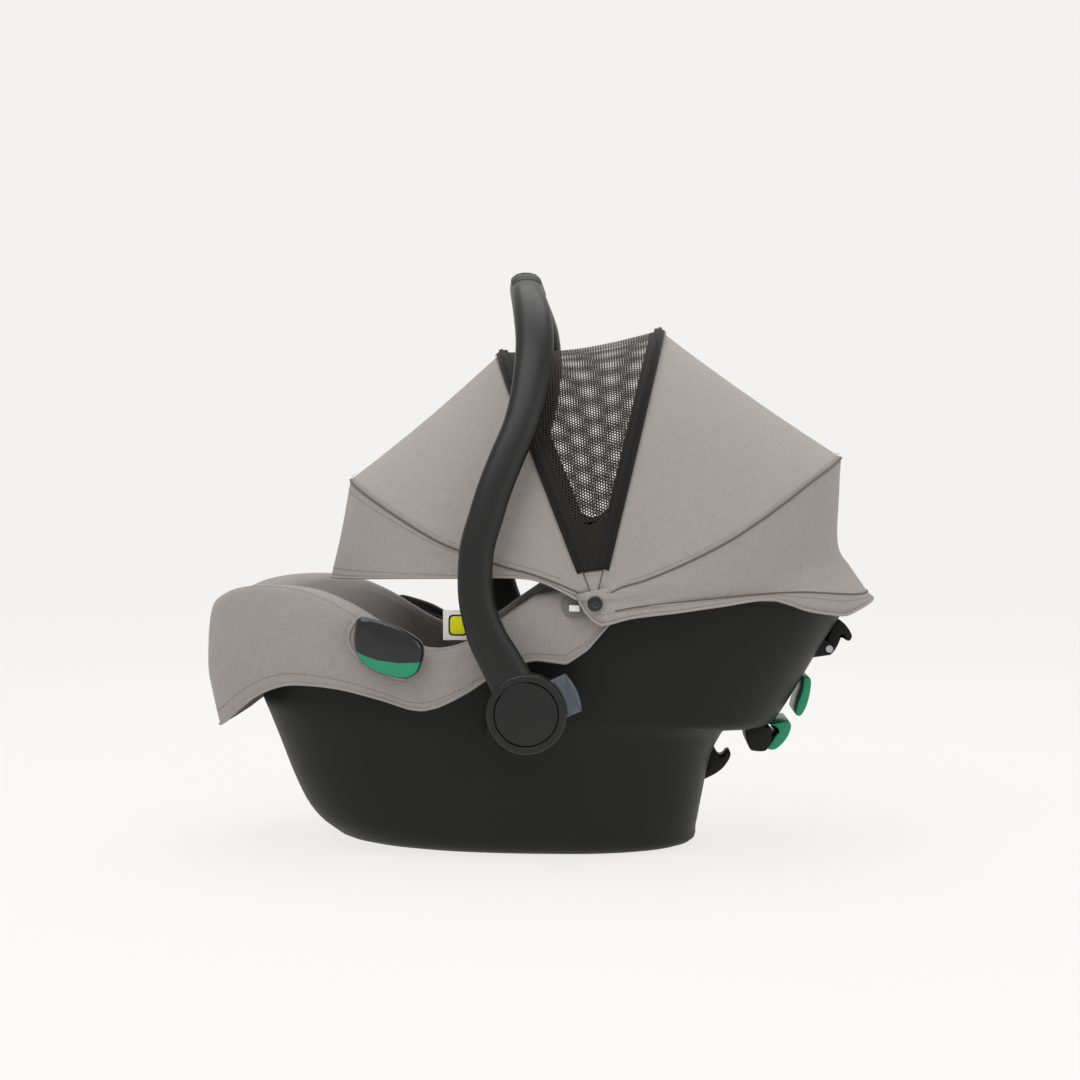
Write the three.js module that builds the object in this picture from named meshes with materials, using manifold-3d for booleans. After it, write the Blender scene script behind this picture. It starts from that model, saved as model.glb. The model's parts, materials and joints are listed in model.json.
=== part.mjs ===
// Infant car seat: a rear-facing carrier with a rocking tub shell, a swinging carry handle,
// a four-bow folding canopy, a padded seat with a three-point harness and a sliding headrest.
//
// Units are millimetres. +X runs from the foot end to the head end, +Y from the left side to the
// right side and +Z is up. The origin lies on the flat sole, straight below the handle's pivot axis.
import * as THREE from "three";
import { mergeVertices } from "three/addons/utils/BufferGeometryUtils.js";
import Module from "manifold-3d";

const wasm = await Module();
wasm.setup();

// ---------------------------------------------------------------- driving sizes
const fit = 0.4; // gap between two pieces that touch
const seatHalfWidth = 170; // rim flange, at its widest
const frontReach = 300; // pivot axis to the front of the rim flange
const rearReach = 322; // pivot axis to the back of the rim flange
const rimHeight = 252; // floor to the level part of the rim
const wall = 3.5; // moulded wall of the shell
const planPower = 2.7; // squareness of the tub in plan

const pivotHeight = 149; // floor to the handle's pivot axis
const handleReach = 401; // pivot axis to the centre of the grip
const handlePower = 2.7; // squareness of the handle's arch
const armHalfThickness = 9.5;
const gripHalfThickness = 13;
const gripPadHalfLength = 72;
const gripPadThickness = 1.6;

const hubGap = 18; // rim flange to the hub's inner face
const hubRadius = 36.5;
const hubThickness = 29.5;
const hubBossRadius = 33;
const hubRecessRadius = 29.5;
const hubCapRadius = 25.8;
const boltRadius = 5;
const boltHeadRadius = 9.5;
const buttonWidth = 37;
const buttonReach = 50;
const buttonThickness = 9;
const buttonAngle = THREE.MathUtils.degToRad(24);

const canopyPivotX = 62;
const canopyDrop = 4; // canopy pivot below the rim
const canopyPivotHeight = rimHeight - canopyDrop;
const canopyPower = 2.3; // squareness of each bow
const bowWidth = 5;
const bowThickness = 1.4;
const clothThickness = 1.4;
const tapeWidth = 11;
const tapeThickness = 1.2;
const canopyPinRadius = 3.5;

const seatPower = 6; // how sharply the seat turns up into its sides
const coverThickness = 4;
const linerThickness = 16;
const insertThickness = 12;
const bolsterHeight = 44;

const headrestLength = 90;
const headrestHalfWidth = 74;
const headrestStart = 112; // pivot axis to the headrest's lower end
const headrestSlope = THREE.MathUtils.degToRad(29.5);
const wingHeight = 58;

const strapWidth = 24;
const strapThickness = 1.8;
const strapGap = 36; // between the two shoulder straps, edge to edge
const strapSpacing = strapWidth + strapGap;
const shoulderSlotX = 105;
const buckleLength = 54;
const buckleWidth = 42;
const buckleHeight = 17;

const guideLength = 72; // lap belt guide along the rim
const guideHeight = 33;

// ---------------------------------------------------------------- derived places
const seatCentre = (rearReach - frontReach) / 2;
const bossFace = seatHalfWidth + hubGap - fit;
const hubInner = bossFace + fit;
const hubOuter = hubInner + hubThickness;
const hubCavityFloor = hubInner + 17;
const hubRecessFloor = hubOuter - 5;
const armCentre = hubInner + 19;
const buttonInner = hubInner + 6;
const mountInner = seatHalfWidth + fit;
const mountFace = seatHalfWidth + 7.6;
const bowPitch = bowThickness + fit;
const bowPlane = (layer) => mountFace + 0.8 + bowThickness / 2 + layer * bowPitch;
const clothInner = bowPlane(3) + bowThickness / 2 + fit;
const clothOuter = clothInner + clothThickness;

// ---------------------------------------------------------------- helpers
/** Smooth curve y(x) through hand-set points, with x rising. */
function through(points) {
  const slope = points.map(([x, y], i) => {
    const a = points[Math.max(i - 1, 0)];
    const b = points[Math.min(i + 1, points.length - 1)];
    return (b[1] - a[1]) / (b[0] - a[0]);
  });
  return (x) => {
    let i = 0;
    while (i < points.length - 2 && x > points[i + 1][0]) i++;
    const [x0, y0] = points[i];
    const [x1, y1] = points[i + 1];
    const h = x1 - x0;
    const t = Math.min(Math.max((x - x0) / h, 0), 1);
    const a = (1 + 2 * t) * (1 - t) ** 2;
    const b = t * (1 - t) ** 2;
    const c = t * t * (3 - 2 * t);
    const d = t * t * (t - 1);
    return a * y0 + b * h * slope[i] + c * y1 + d * h * slope[i + 1];
  };
}

const lerp = THREE.MathUtils.lerp;
const smooth = THREE.MathUtils.smoothstep;
const vec = (x, y, z) => new THREE.Vector3(x, y, z);
const power = (v, p) => Math.sign(v) * Math.abs(v) ** p;

/** Turns a geometry into a manifold-3d solid, facing out. */
function solid(geometry) {
  const bare = geometry.index ? geometry.toNonIndexed() : geometry.clone();
  bare.deleteAttribute("normal");
  bare.deleteAttribute("uv");
  const merged = mergeVertices(bare, 1e-3);
  const triVerts = new Uint32Array(merged.index.array);
  const make = () =>
    new wasm.Manifold(new wasm.Mesh({ numProp: 3, vertProperties: merged.attributes.position.array, triVerts }));
  const made = make();
  if (made.volume() >= 0) return made;
  for (let i = 0; i < triVerts.length; i += 3) {
    [triVerts[i + 1], triVerts[i + 2]] = [triVerts[i + 2], triVerts[i + 1]];
  }
  return make();
}

/** Turns a manifold-3d solid back into a geometry. */
function geometryOf(shape) {
  const mesh = shape.getMesh();
  const positions = new Float32Array(mesh.numVert * 3);
  for (let i = 0; i < mesh.numVert; i++) {
    positions.set(mesh.vertProperties.subarray(i * mesh.numProp, i * mesh.numProp + 3), i * 3);
  }
  const geometry = new THREE.BufferGeometry();
  geometry.setAttribute("position", new THREE.BufferAttribute(positions, 3));
  geometry.setIndex(new THREE.BufferAttribute(mesh.triVerts, 1));
  return geometry;
}

/** Closed skin over a list of rings; a ring of one point is an apex, and an open end gets a flat cap. */
function loft(rings) {
  const closed = [...rings];
  const centre = (ring) => ring.reduce((s, p) => s.add(p), vec(0, 0, 0)).multiplyScalar(1 / ring.length);
  if (closed[0].length > 1) closed.unshift([centre(closed[0])]);
  if (closed.at(-1).length > 1) closed.push([centre(closed.at(-1))]);
  const positions = [];
  const add = (...points) => points.forEach((p) => positions.push(p.x, p.y, p.z));
  for (let k = 0; k + 1 < closed.length; k++) {
    const a = closed[k];
    const b = closed[k + 1];
    const n = Math.max(a.length, b.length);
    for (let i = 0; i < n; i++) {
      const j = (i + 1) % n;
      if (a.length === 1) add(a[0], b[j], b[i]);
      else if (b.length === 1) add(a[i], a[j], b[0]);
      else if (a[i].distanceToSquared(b[j]) < a[j].distanceToSquared(b[i])) {
        add(a[i], a[j], b[j]);
        add(a[i], b[j], b[i]);
      } else {
        add(a[i], a[j], b[i]);
        add(a[j], b[j], b[i]);
      }
    }
  }
  const geometry = new THREE.BufferGeometry();
  geometry.setAttribute("position", new THREE.Float32BufferAttribute(positions, 3));
  return solid(geometry);
}

/** Closed outline in the X-Z plane through [x, z] points. */
function outline(points) {
  return new THREE.Shape(points.map(([x, z]) => new THREE.Vector2(x, z)));
}

/** Closed solid between two matching grids of points. */
function slab(upper, lower) {
  const rows = upper.length - 1;
  const columns = upper[0].length - 1;
  const positions = [];
  const quad = (...p) => [0, 1, 2, 0, 2, 3].forEach((k) => positions.push(p[k].x, p[k].y, p[k].z));
  for (let i = 0; i < rows; i++) {
    for (let j = 0; j < columns; j++) {
      quad(upper[i][j], upper[i + 1][j], upper[i + 1][j + 1], upper[i][j + 1]);
      quad(lower[i][j], lower[i][j + 1], lower[i + 1][j + 1], lower[i + 1][j]);
    }
    quad(upper[i][0], lower[i][0], lower[i + 1][0], upper[i + 1][0]);
    quad(upper[i][columns], upper[i + 1][columns], lower[i + 1][columns], lower[i][columns]);
  }
  for (let j = 0; j < columns; j++) {
    quad(upper[0][j], upper[0][j + 1], lower[0][j + 1], lower[0][j]);
    quad(upper[rows][j], lower[rows][j], lower[rows][j + 1], upper[rows][j + 1]);
  }
  const geometry = new THREE.BufferGeometry();
  geometry.setAttribute("position", new THREE.Float32BufferAttribute(positions, 3));
  return solid(geometry);
}

/** Closed skin of a tube of rings, each ring lying across a path, with frames that keep `across` level. */
function sweep(path, across, section) {
  return loft(
    path.map((p, i) => {
      const before = path[Math.max(i - 1, 0)];
      const after = path[Math.min(i + 1, path.length - 1)];
      const along = after.clone().sub(before).normalize();
      const side = across.clone().addScaledVector(along, -across.dot(along)).normalize();
      const out = new THREE.Vector3().crossVectors(along, side);
      return section(i).map(([s, o]) => p.clone().addScaledVector(side, s).addScaledVector(out, o));
    }),
  );
}

/** Outline in the X-Z plane, extruded along Y from y0 to y1. */
function plate(shape, y0, y1, curveSegments = 12) {
  const geometry = new THREE.ExtrudeGeometry(shape, { depth: y1 - y0, bevelEnabled: false, curveSegments });
  geometry.rotateX(Math.PI / 2);
  geometry.translate(0, y1, 0);
  return solid(geometry);
}

/** Cylinder along Y at (x, z), from y0 to y1. */
function rod(radius, x, z, y0, y1, sides = 32) {
  const geometry = new THREE.CylinderGeometry(radius, radius, y1 - y0, sides);
  geometry.translate(x, (y0 + y1) / 2, z);
  return solid(geometry);
}

/** Box from its low corner to its high corner. */
function block(low, high) {
  const geometry = new THREE.BoxGeometry(high[0] - low[0], high[1] - low[1], high[2] - low[2]);
  geometry.translate((low[0] + high[0]) / 2, (low[1] + high[1]) / 2, (low[2] + high[2]) / 2);
  return solid(geometry);
}

/** Rectangle with round corners, centred on the origin. */
function roundedRect(width, height, radius) {
  const shape = new THREE.Shape();
  const x = width / 2 - radius;
  const y = height / 2 - radius;
  shape.absarc(x, y, radius, 0, Math.PI / 2);
  shape.absarc(-x, y, radius, Math.PI / 2, Math.PI);
  shape.absarc(-x, -y, radius, Math.PI, 1.5 * Math.PI);
  shape.absarc(x, -y, radius, 1.5 * Math.PI, 2 * Math.PI);
  shape.closePath();
  return shape;
}

/** Moves a solid by a matrix. */
function placed(shape, matrix) {
  const geometry = geometryOf(shape);
  geometry.applyMatrix4(matrix);
  return solid(geometry);
}

// ---------------------------------------------------------------- rim and tub
const around = 36;
/** Height of the rim along the seat: high at both ends, with a saddle for the lap belt. */
const rim = through([
  [-frontReach, rimHeight - 20],
  [-270, rimHeight - 4],
  [-234, rimHeight + 1],
  [-200, rimHeight - 2],
  [-165, rimHeight - 16],
  [-120, rimHeight - 43],
  [-88, rimHeight - 55],
  [-53, rimHeight - 49],
  [-25, rimHeight - 31],
  [5, rimHeight - 8],
  [40, rimHeight],
  [200, rimHeight + 4],
  [rearReach, rimHeight - 4],
]);

/** Height of the rim beside any ring's point, from its place u (-1..1) along the seat. */
const rimAt = (u) => rim(seatCentre + ((rearReach + frontReach) / 2) * u);

/** Plan ring inset from the rim flange by front, rear and side amounts; height(x, u) gives z. */
function planRing(front, rear, side, height) {
  const low = -frontReach + front;
  const high = rearReach - rear;
  const middle = (low + high) / 2;
  const half = (high - low) / 2;
  return Array.from({ length: around }, (_, i) => {
    const angle = (2 * Math.PI * i) / around;
    const u = power(Math.cos(angle), 2 / planPower);
    const x = middle + half * u;
    const y = (seatHalfWidth - side) * power(Math.sin(angle), 2 / planPower);
    return vec(x, y, height(x, u));
  });
}

/** Height that runs through a front, a side and a rear value, and follows part of the rim's wave. */
const blendHeight = (front, rear, side, follow) => (x, u) =>
  side + ((rear - front) / 2) * u + ((rear + front) / 2 - side) * u * u + follow * (rimAt(u) - rimHeight);

// Each level: insets at front, rear and side, heights at front, rear and side, share of the rim's wave.
const tubLevels = [
  [240, 204, 84, 0, 0, 0, 0],
  [128, 166, 64, 7, 5, 5, 0],
  [96, 161, 52, 20, 20, 20, 0],
  [76, 156, 44, 40, 46, 45, 0],
  [61, 148, 35, 70, 84, 75, 0],
  [48, 139, 27, 104, 106, 104, 0],
  [37, 127, 19, 132, 118, 128, 0],
  [31, 92, 15, 146, 120, 142, 0],
  [29, 75, 13, 160, 138, 160, 0.2],
  [22, 39, 8, 196, 200, 196, 0.5],
];
const underFlange = { front: 12, rear: 14, side: 6, drop: 12 };
const flangeDepth = 8;
const flangeWidth = 11;

function tubRings(grow) {
  const rings = tubLevels.map(([f, r, s, zf, zr, zs, follow]) =>
    planRing(f - grow, r - grow, s - grow, blendHeight(zf - grow, zr - grow, zs - grow, follow)),
  );
  const { front, rear, side, drop } = underFlange;
  rings.push(planRing(front - grow, rear - grow, side - grow, (x, u) => rimAt(u) - drop - grow));
  return rings;
}

/** Span along Y from a to b, on the left (-1) or right (1) side. */
const span = (side, a, b) => (side < 0 ? [-b, -a] : [a, b]);

function shell() {
  const flange = (inset, drop) => planRing(inset, inset, inset, (x, u) => rimAt(u) - drop);
  const lip = [flange(0, flangeDepth), flange(0, 2), flange(3, 0), flange(flangeWidth, 0)];
  let made = loft([...tubRings(0), ...lip, ...tubRings(-wall).reverse()]);
  for (const side of [-1, 1]) {
    const root = seatHalfWidth - 26;
    made = made.add(rod(hubBossRadius, 0, pivotHeight, ...span(side, root, bossFace), 36));
    made = made.add(adapterLug(side));
    made = made.add(leverEar(side));
    made = made.subtract(rod(boltRadius + fit, 0, pivotHeight, ...span(side, root - 2, bossFace + 1), 24));
    const pinSpan = span(side, seatHalfWidth - 14, seatHalfWidth + 1);
    made = made.subtract(rod(canopyPinRadius + fit, canopyPivotX, canopyPivotHeight, ...pinSpan, 16));
  }
  return made.subtract(rod(leverPinRadius + fit, leverPivot.x, leverPivot.z, -60, 60, 16));
}

/** Rib below each pivot that a stroller adapter slides onto. */
function adapterLug(side) {
  const lug = outline([
    [-37, 136],
    [-28, 129],
    [-20, 112],
    [-30, 107],
    [-42, 122],
  ]);
  return plate(lug, ...span(side, seatHalfWidth - 30, seatHalfWidth + 4));
}

// ---------------------------------------------------------------- release lever and base fittings
const leverPivot = { x: 290.5, z: 195 };
const leverPinRadius = 2.2;
const leverHalfWidth = 30;

function leverEar(side) {
  const ear = outline([
    [272, 200],
    [272, 186],
    [292, 189],
    [296, 195],
    [292, 201],
    [281, 206],
  ]);
  return plate(ear, ...span(side, leverHalfWidth + fit, leverHalfWidth + 3.4));
}

function releaseLever() {
  const hook = outline([
    [292, 189.8],
    [297, 193],
    [302, 199],
    [311, 198.5],
    [314.5, 203],
    [306, 212.5],
    [300, 215],
    [297, 211],
    [291, 200.4],
  ]);
  let made = plate(hook, -leverHalfWidth, leverHalfWidth);
  made = made.add(rod(5.4, leverPivot.x, leverPivot.z, -leverHalfWidth, leverHalfWidth, 20));
  return made.subtract(rod(leverPinRadius + fit, leverPivot.x, leverPivot.z, -60, 60, 16));
}

function leverPin() {
  const reach = leverHalfWidth + 3.4;
  const shank = rod(leverPinRadius, leverPivot.x, leverPivot.z, -reach - 0.8, reach + 0.8, 16);
  return [-1, 1].reduce(
    (made, side) => made.add(rod(3.6, leverPivot.x, leverPivot.z, ...span(side, reach + fit, reach + 2.2), 16)),
    shank,
  );
}

const baseHook = () =>
  plate(outline([[179.8, 96], [184, 89], [189, 89], [195, 94], [196.5, 89], [183, 70], [171.6, 66]]), -14, 14);

const releaseBlock = () =>
  plate(outline([[206, 118.2], [209, 107], [215, 96], [228, 96], [233, 106], [229, 119.5]]), -45, 45);

const guideUpper = () =>
  plate(outline([[265.5, 168], [272, 166], [273, 160], [263, 129], [256, 132], [259, 144], [260.3, 157]]), -40, 40);

const guideLower = () =>
  plate(outline([[231.6, 120.9], [250, 124], [254, 117], [241, 97], [231, 97], [240, 106], [236, 114]]), -40, 40);

// ---------------------------------------------------------------- seat surface
const seatInset = { front: 22, rear: 20, side: 18 };
/** Line of the seat along its middle: leg rest, seat and reclined back. */
const seatLine = through([
  [-frontReach, rimHeight - 24],
  [-230, 165],
  [-160, 118],
  [-100, 88],
  [-60, 80],
  [-20, 84],
  [60, 116],
  [150, 162],
  [240, 208],
  [rearReach, rimHeight - 8],
]);

/** How far out a place is: 0 at the middle of the seat, 1 at its edge. */
function seatShare(x, y) {
  const low = -frontReach + seatInset.front;
  const high = rearReach - seatInset.rear;
  const along = Math.abs(x - (low + high) / 2) / ((high - low) / 2);
  const across = Math.abs(y) / (seatHalfWidth - seatInset.side);
  return (along ** planPower + across ** planPower) ** (1 / planPower);
}

/** Height of the seat's top surface at a place in plan. */
function seatTop(x, y) {
  const line = seatLine(x);
  return line + (rim(x) - 6 - line) * Math.min(seatShare(x, y), 1) ** seatPower;
}

const shares = [1, 0.94, 0.87, 0.8, 0.71, 0.62, 0.52, 0.42, 0.32, 0.22, 0.11];

/** Ring of the seat surface a share of the way out, raised by lift. */
function seatRing(share, lift) {
  return planRing(seatInset.front, seatInset.rear, seatInset.side, () => 0).map((p) => {
    const x = lerp(seatCentre, p.x, share);
    const y = p.y * share;
    return vec(x, y, seatTop(x, y) + lift);
  });
}
const seatMiddle = (lift) => [vec(seatCentre, 0, seatTop(seatCentre, 0) + lift)];
const outward = [...shares].reverse();

function foamLiner() {
  const top = -coverThickness - 1.2;
  const low = top - linerThickness;
  const { front, rear, side, drop } = underFlange;
  const gap = wall + fit;
  const made = loft([
    seatMiddle(top),
    ...outward.map((s) => seatRing(s, top)),
    planRing(front + gap + 1, rear + gap + 3, side + gap + 1, (x, u) => rimAt(u) - drop + 0.6),
    planRing(front + gap + 6, rear + gap + 11, side + gap + 2.6, (x, u) => rimAt(u) - drop - 8),
    ...shares.slice(1).map((s) => seatRing(s, low)),
    seatMiddle(low),
  ]);
  return [-1, 1].reduce((left, sign) => {
    const recess = span(sign, seatHalfWidth - 34, seatHalfWidth);
    return left.subtract(rod(hubBossRadius + 2, 0, pivotHeight, ...recess, 24));
  }, made);
}

/** Lower edge of the fabric cover where it hangs outside the shell. */
const hem = through([
  [-330, rimHeight - 140],
  [-300, rimHeight - 133],
  [-253, rimHeight - 97],
  [-225, rimHeight - 84],
  [-200, rimHeight - 82],
  [-165, rimHeight - 85],
  [-128, rimHeight - 94],
  [-90, rimHeight - 103],
  [-49, rimHeight - 85],
  [-5, rimHeight - 56],
  [43, rimHeight - 58],
  [73, rimHeight - 27],
  [95, rimHeight - 5],
  [200, rimHeight - 1],
  [330, rimHeight - 9],
]);

const hemAt = (u) => hem(seatCentre + ((rearReach + frontReach) / 2) * u);

function seatCover() {
  const edge = (f, r, s, share, lift) =>
    planRing(f, r, s, (x, u) => lerp(hemAt(u), rimAt(u), share) + lift);
  let made = loft([
    seatMiddle(0),
    ...outward.map((s) => seatRing(s, 0)),
    edge(14, 13, 13, 1, 4),
    edge(-4, 4, 4, 1, 8.5),
    edge(-20, -4.5, -4.5, 1, 2),
    edge(-25, -5, -6, 0.5, 0),
    edge(-12, -4.5, -4.5, 0, 0),
    edge(-8, -2, -2, 0, 0.3),
    edge(-17, -2.2, -3.4, 0.5, 0),
    edge(-2.4, -2, -2, 1, -1.5),
    edge(-1.2, -1.2, -1.2, 1, 1.2),
    edge(11.6, 11.6, 11.6, 1, 1.6),
    edge(16, 17, 15.5, 1, -5),
    ...shares.map((s) => seatRing(s, -coverThickness)),
    seatMiddle(-coverThickness),
  ]);
  for (const side of [-1, 1]) {
    const skirt = span(side, seatHalfWidth - 1, seatHalfWidth + 12);
    made = made.subtract(rod(mountBossRadius + 1.5, canopyPivotX, canopyPivotHeight - 4, ...skirt, 20));
    made = made.subtract(plate(guideOutline(guideLength / 2 - 14, guideHeight / 2 - 9), ...skirt));
    const slot = span(side, strapSpacing / 2 - strapWidth / 2 - 2, strapSpacing / 2 + strapWidth / 2 + 2);
    const slotTop = seatTop(shoulderSlotX, 0);
    const low = [shoulderSlotX - 3, slot[0], slotTop - 12];
    made = made.subtract(block(low, [shoulderSlotX + 3, slot[1], slotTop + 14]));
  }
  return made;
}

// ---------------------------------------------------------------- body insert
const insertCentre = -55;
const insertHalf = { x: 145, y: 122 };
const crotchSlotX = -121;

function insertRing(share, lift) {
  return Array.from({ length: around }, (_, i) => {
    const angle = (2 * Math.PI * i) / around;
    const x = insertCentre + insertHalf.x * share * power(Math.cos(angle), 2 / planPower);
    const y = insertHalf.y * share * power(Math.sin(angle), 2 / planPower);
    const side = smooth(Math.abs(y) / insertHalf.y / share, 0.55, 0.95);
    const foot = 1 - smooth(x, -30, 60);
    return vec(x, y, seatTop(x, y) + lift(side * lerp(0.35, 1, foot)));
  });
}

function bodyInsert() {
  const level = () => insertThickness;
  const hump = (part) => (side) => insertThickness * (part > 0.5 ? 1 : part * 2) + side * bolsterHeight * part;
  const base = () => 3.2;
  const top = insertThickness;
  const made = loft([
    [vec(insertCentre, 0, seatTop(insertCentre, 0) + top)],
    ...[0.12, 0.24, 0.36, 0.48, 0.58].map((s) => insertRing(s, level)),
    insertRing(0.68, (side) => top + side * bolsterHeight * 0.45),
    insertRing(0.77, (side) => top + side * bolsterHeight * 0.9),
    insertRing(0.86, (side) => top + side * bolsterHeight),
    insertRing(0.95, (side) => top * 0.9 + side * bolsterHeight * 0.75),
    insertRing(1, (side) => top * 0.45 + side * bolsterHeight * 0.3),
    insertRing(0.98, () => 4.6),
    ...[0.86, 0.74, 0.61, 0.48, 0.36, 0.24, 0.12].map((s) => insertRing(s, base)),
    [vec(insertCentre, 0, seatTop(insertCentre, 0) + 3.2)],
  ]);
  const slotTop = seatTop(crotchSlotX, 0);
  const half = strapWidth / 2 + 2;
  return made.subtract(block([crotchSlotX - 3, -half, slotTop - 20], [crotchSlotX + 3, half, slotTop + 30]));
}

// ---------------------------------------------------------------- harness
/** Webbing along points [x, y, z] in the middle of its lower face, as wide as given along Y. */
function webbing(points, width, thickness) {
  const normal = (k) => {
    const a = points[Math.max(k - 1, 0)];
    const b = points[Math.min(k + 1, points.length - 1)];
    return vec(-(b[2] - a[2]), 0, b[0] - a[0]).normalize();
  };
  const lower = points.map(([x, y, z]) => [vec(x, y - width / 2, z), vec(x, y + width / 2, z)]);
  const upper = lower.map((row, k) => row.map((p) => p.clone().addScaledVector(normal(k), thickness)));
  return slab(upper, lower);
}

const buckleBase = seatTop(-100, 0) + insertThickness + 2;
const buckleStart = -98;
const tongueHeight = buckleBase + 7.4;

function buckleBody() {
  const high = buckleBase + buckleHeight;
  const end = buckleStart + buckleLength;
  const shape = outline([
    [buckleStart, buckleBase],
    [end, buckleBase],
    [end, high - 3],
    [end - 4, high],
    [buckleStart + 12, high],
    [buckleStart, high - 6],
  ]);
  let made = plate(shape, -buckleWidth / 2, buckleWidth / 2);
  const mouth = [end + 1, buckleWidth / 2 - 2, tongueHeight + 3.2];
  made = made.subtract(block([end - 21, -buckleWidth / 2 + 2, tongueHeight - 0.8], mouth));
  const well = block([-87, -11, high - 5.4], [-61, 11, high + 1]);
  return made.subtract(well);
}

function buckleButton() {
  const high = buckleBase + buckleHeight;
  const shape = outline([[-86.5, high - 2.6], [-61.5, high - 2.6], [-61.5, high + 1], [-64, high + 1.6], [-84, high + 1.6]]);
  return plate(shape, -10.5, 10.5);
}

function buckleTongue(side) {
  const end = buckleStart + buckleLength;
  const [a, b] = span(side, 1.5, buckleWidth / 2 - 3);
  const shank = block([end - 19, a, tongueHeight], [end + 3, b, tongueHeight + 2.4]);
  const [c, d] = span(side, 1.5, strapWidth + 3);
  return shank.add(block([end + 2, c, tongueHeight], [end + 15, d, tongueHeight + 2.4]));
}

const shoulderPath = (side) => {
  const top = seatTop(shoulderSlotX, 0);
  const start = tongueHeight + 2.4 + fit;
  const y = strapSpacing / 2;
  return [
    [-41, strapWidth / 2 + 3, start],
    [-30, strapWidth / 2 + 3.2, start + 0.2],
    [0, strapWidth / 2 + 7, start + 5],
    [35, strapWidth / 2 + 13, start + 14],
    [62, y - 1, start + 24.5],
    [84, y, top + 6],
    [99, y, top + 8.2],
    [103.4, y, top + 4],
    [104.2, y, top - 4.2],
  ].map(([px, py, pz]) => [px, side * py, pz]);
};
const shoulderStrap = (side) => webbing(shoulderPath(side), strapWidth, strapThickness);

function shoulderPad(side) {
  const path = shoulderPath(side).slice(2, 5);
  const drop = path.map(([x, y, z]) => [x, y, z - 3.4]);
  const sleeve = webbing(drop, strapWidth + 12, strapThickness + 7);
  const bore = path.map(([x, y, z]) => [x, y, z - fit]);
  const first = bore[0].map((v, i) => v + (bore[0][i] - bore[1][i]) * 0.1);
  const last = bore[2].map((v, i) => v + (bore[2][i] - bore[1][i]) * 0.1);
  return sleeve.subtract(webbing([first, ...bore, last], strapWidth + 2 * fit, strapThickness + 2 * fit));
}

function crotchStrap() {
  const base = seatTop(crotchSlotX, 0);
  const path = [
    [crotchSlotX + 0.2, 0, base + 1.6],
    [crotchSlotX + 0.2, 0, base + insertThickness],
    [crotchSlotX + 3, 0, base + insertThickness + 2.2],
    [crotchSlotX + 11, 0, base + insertThickness + 0.6],
    [buckleStart - 0.9, 0, buckleBase + 5],
  ];
  return webbing(path, strapWidth, strapThickness);
}

/** Small cushion between the buckle and the seat. */
function crotchPad() {
  const xs = [-106, -98, -88, -74, -62, -52];
  const ys = [-22, -11, 0, 11, 22];
  const lower = xs.map((x) => ys.map((y) => vec(x, y, seatTop(x, y) + insertThickness + 0.7)));
  const upper = xs.map((x, i) =>
    ys.map((y) => vec(x, y, i === 0 ? seatTop(x, y) + insertThickness + 1.9 : buckleBase - fit)),
  );
  return slab(upper, lower);
}

const adjusterX = -222;
const footSlope = (seatLine(adjusterX + 12) - seatLine(adjusterX - 12)) / 24;

/** Places a piece drawn flat at the origin onto the leg rest. */
function onLegRest(shape, lift) {
  const matrix = new THREE.Matrix4().makeTranslation(adjusterX, 0, seatTop(adjusterX, 0) + lift);
  matrix.multiply(new THREE.Matrix4().makeRotationY(-Math.atan(footSlope)));
  return placed(shape, matrix);
}

const adjusterLift = 6.1;

function adjusterHousing() {
  let made = onLegRest(block([-13, -21, 0], [13, 21, 6]), adjusterLift);
  made = made.subtract(onLegRest(block([-2, -12, 2], [10, 12, 7]), adjusterLift));
  const mouth = block([-14, -strapWidth / 2 - 1, 1.4], [-5, strapWidth / 2 + 1, 4.6]);
  return made.subtract(onLegRest(mouth, adjusterLift));
}
const adjusterButton = () => onLegRest(block([-1.5, -11.5, 4.4], [9.5, 11.5, 8]), adjusterLift);

/** Webbing tail from the adjuster up over the leg rest. */
function adjusterStrap() {
  const c = Math.cos(Math.atan(footSlope));
  const s = Math.sin(Math.atan(footSlope));
  const mouth = [-17.4, -19].map((a) => {
    const h = adjusterLift + 2.2;
    return [adjusterX + a * c - h * s, 0, seatTop(adjusterX, 0) + a * s + h * c];
  });
  const tail = [-244, -252, -260].map((x) => [x, 0, seatTop(x, 0) + 2.4]);
  return webbing([...mouth, ...tail], -strapWidth, -strapThickness);
}

// ---------------------------------------------------------------- headrest
const headrestLine = (x) => 148 + Math.tan(headrestSlope) * (x - headrestStart);

/** Draws a section across the seat (y, h) out along the headrest's slope from a0 to a1. */
function alongBack(shape, a0, a1, bevel = 0) {
  const geometry = new THREE.ExtrudeGeometry(shape, {
    depth: a1 - a0 - 2 * bevel,
    bevelEnabled: bevel > 0,
    bevelSize: bevel,
    bevelThickness: bevel,
    bevelOffset: -bevel,
    bevelSegments: 2,
    curveSegments: 6,
  });
  const along = vec(Math.cos(headrestSlope), 0, Math.sin(headrestSlope));
  const up = vec(-Math.sin(headrestSlope), 0, Math.cos(headrestSlope));
  const matrix = new THREE.Matrix4().makeBasis(vec(0, 1, 0), up, along);
  const start = vec(headrestStart, 0, headrestLine(headrestStart)).addScaledVector(along, a0 + bevel);
  geometry.applyMatrix4(matrix.setPosition(start));
  return solid(geometry);
}

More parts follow.
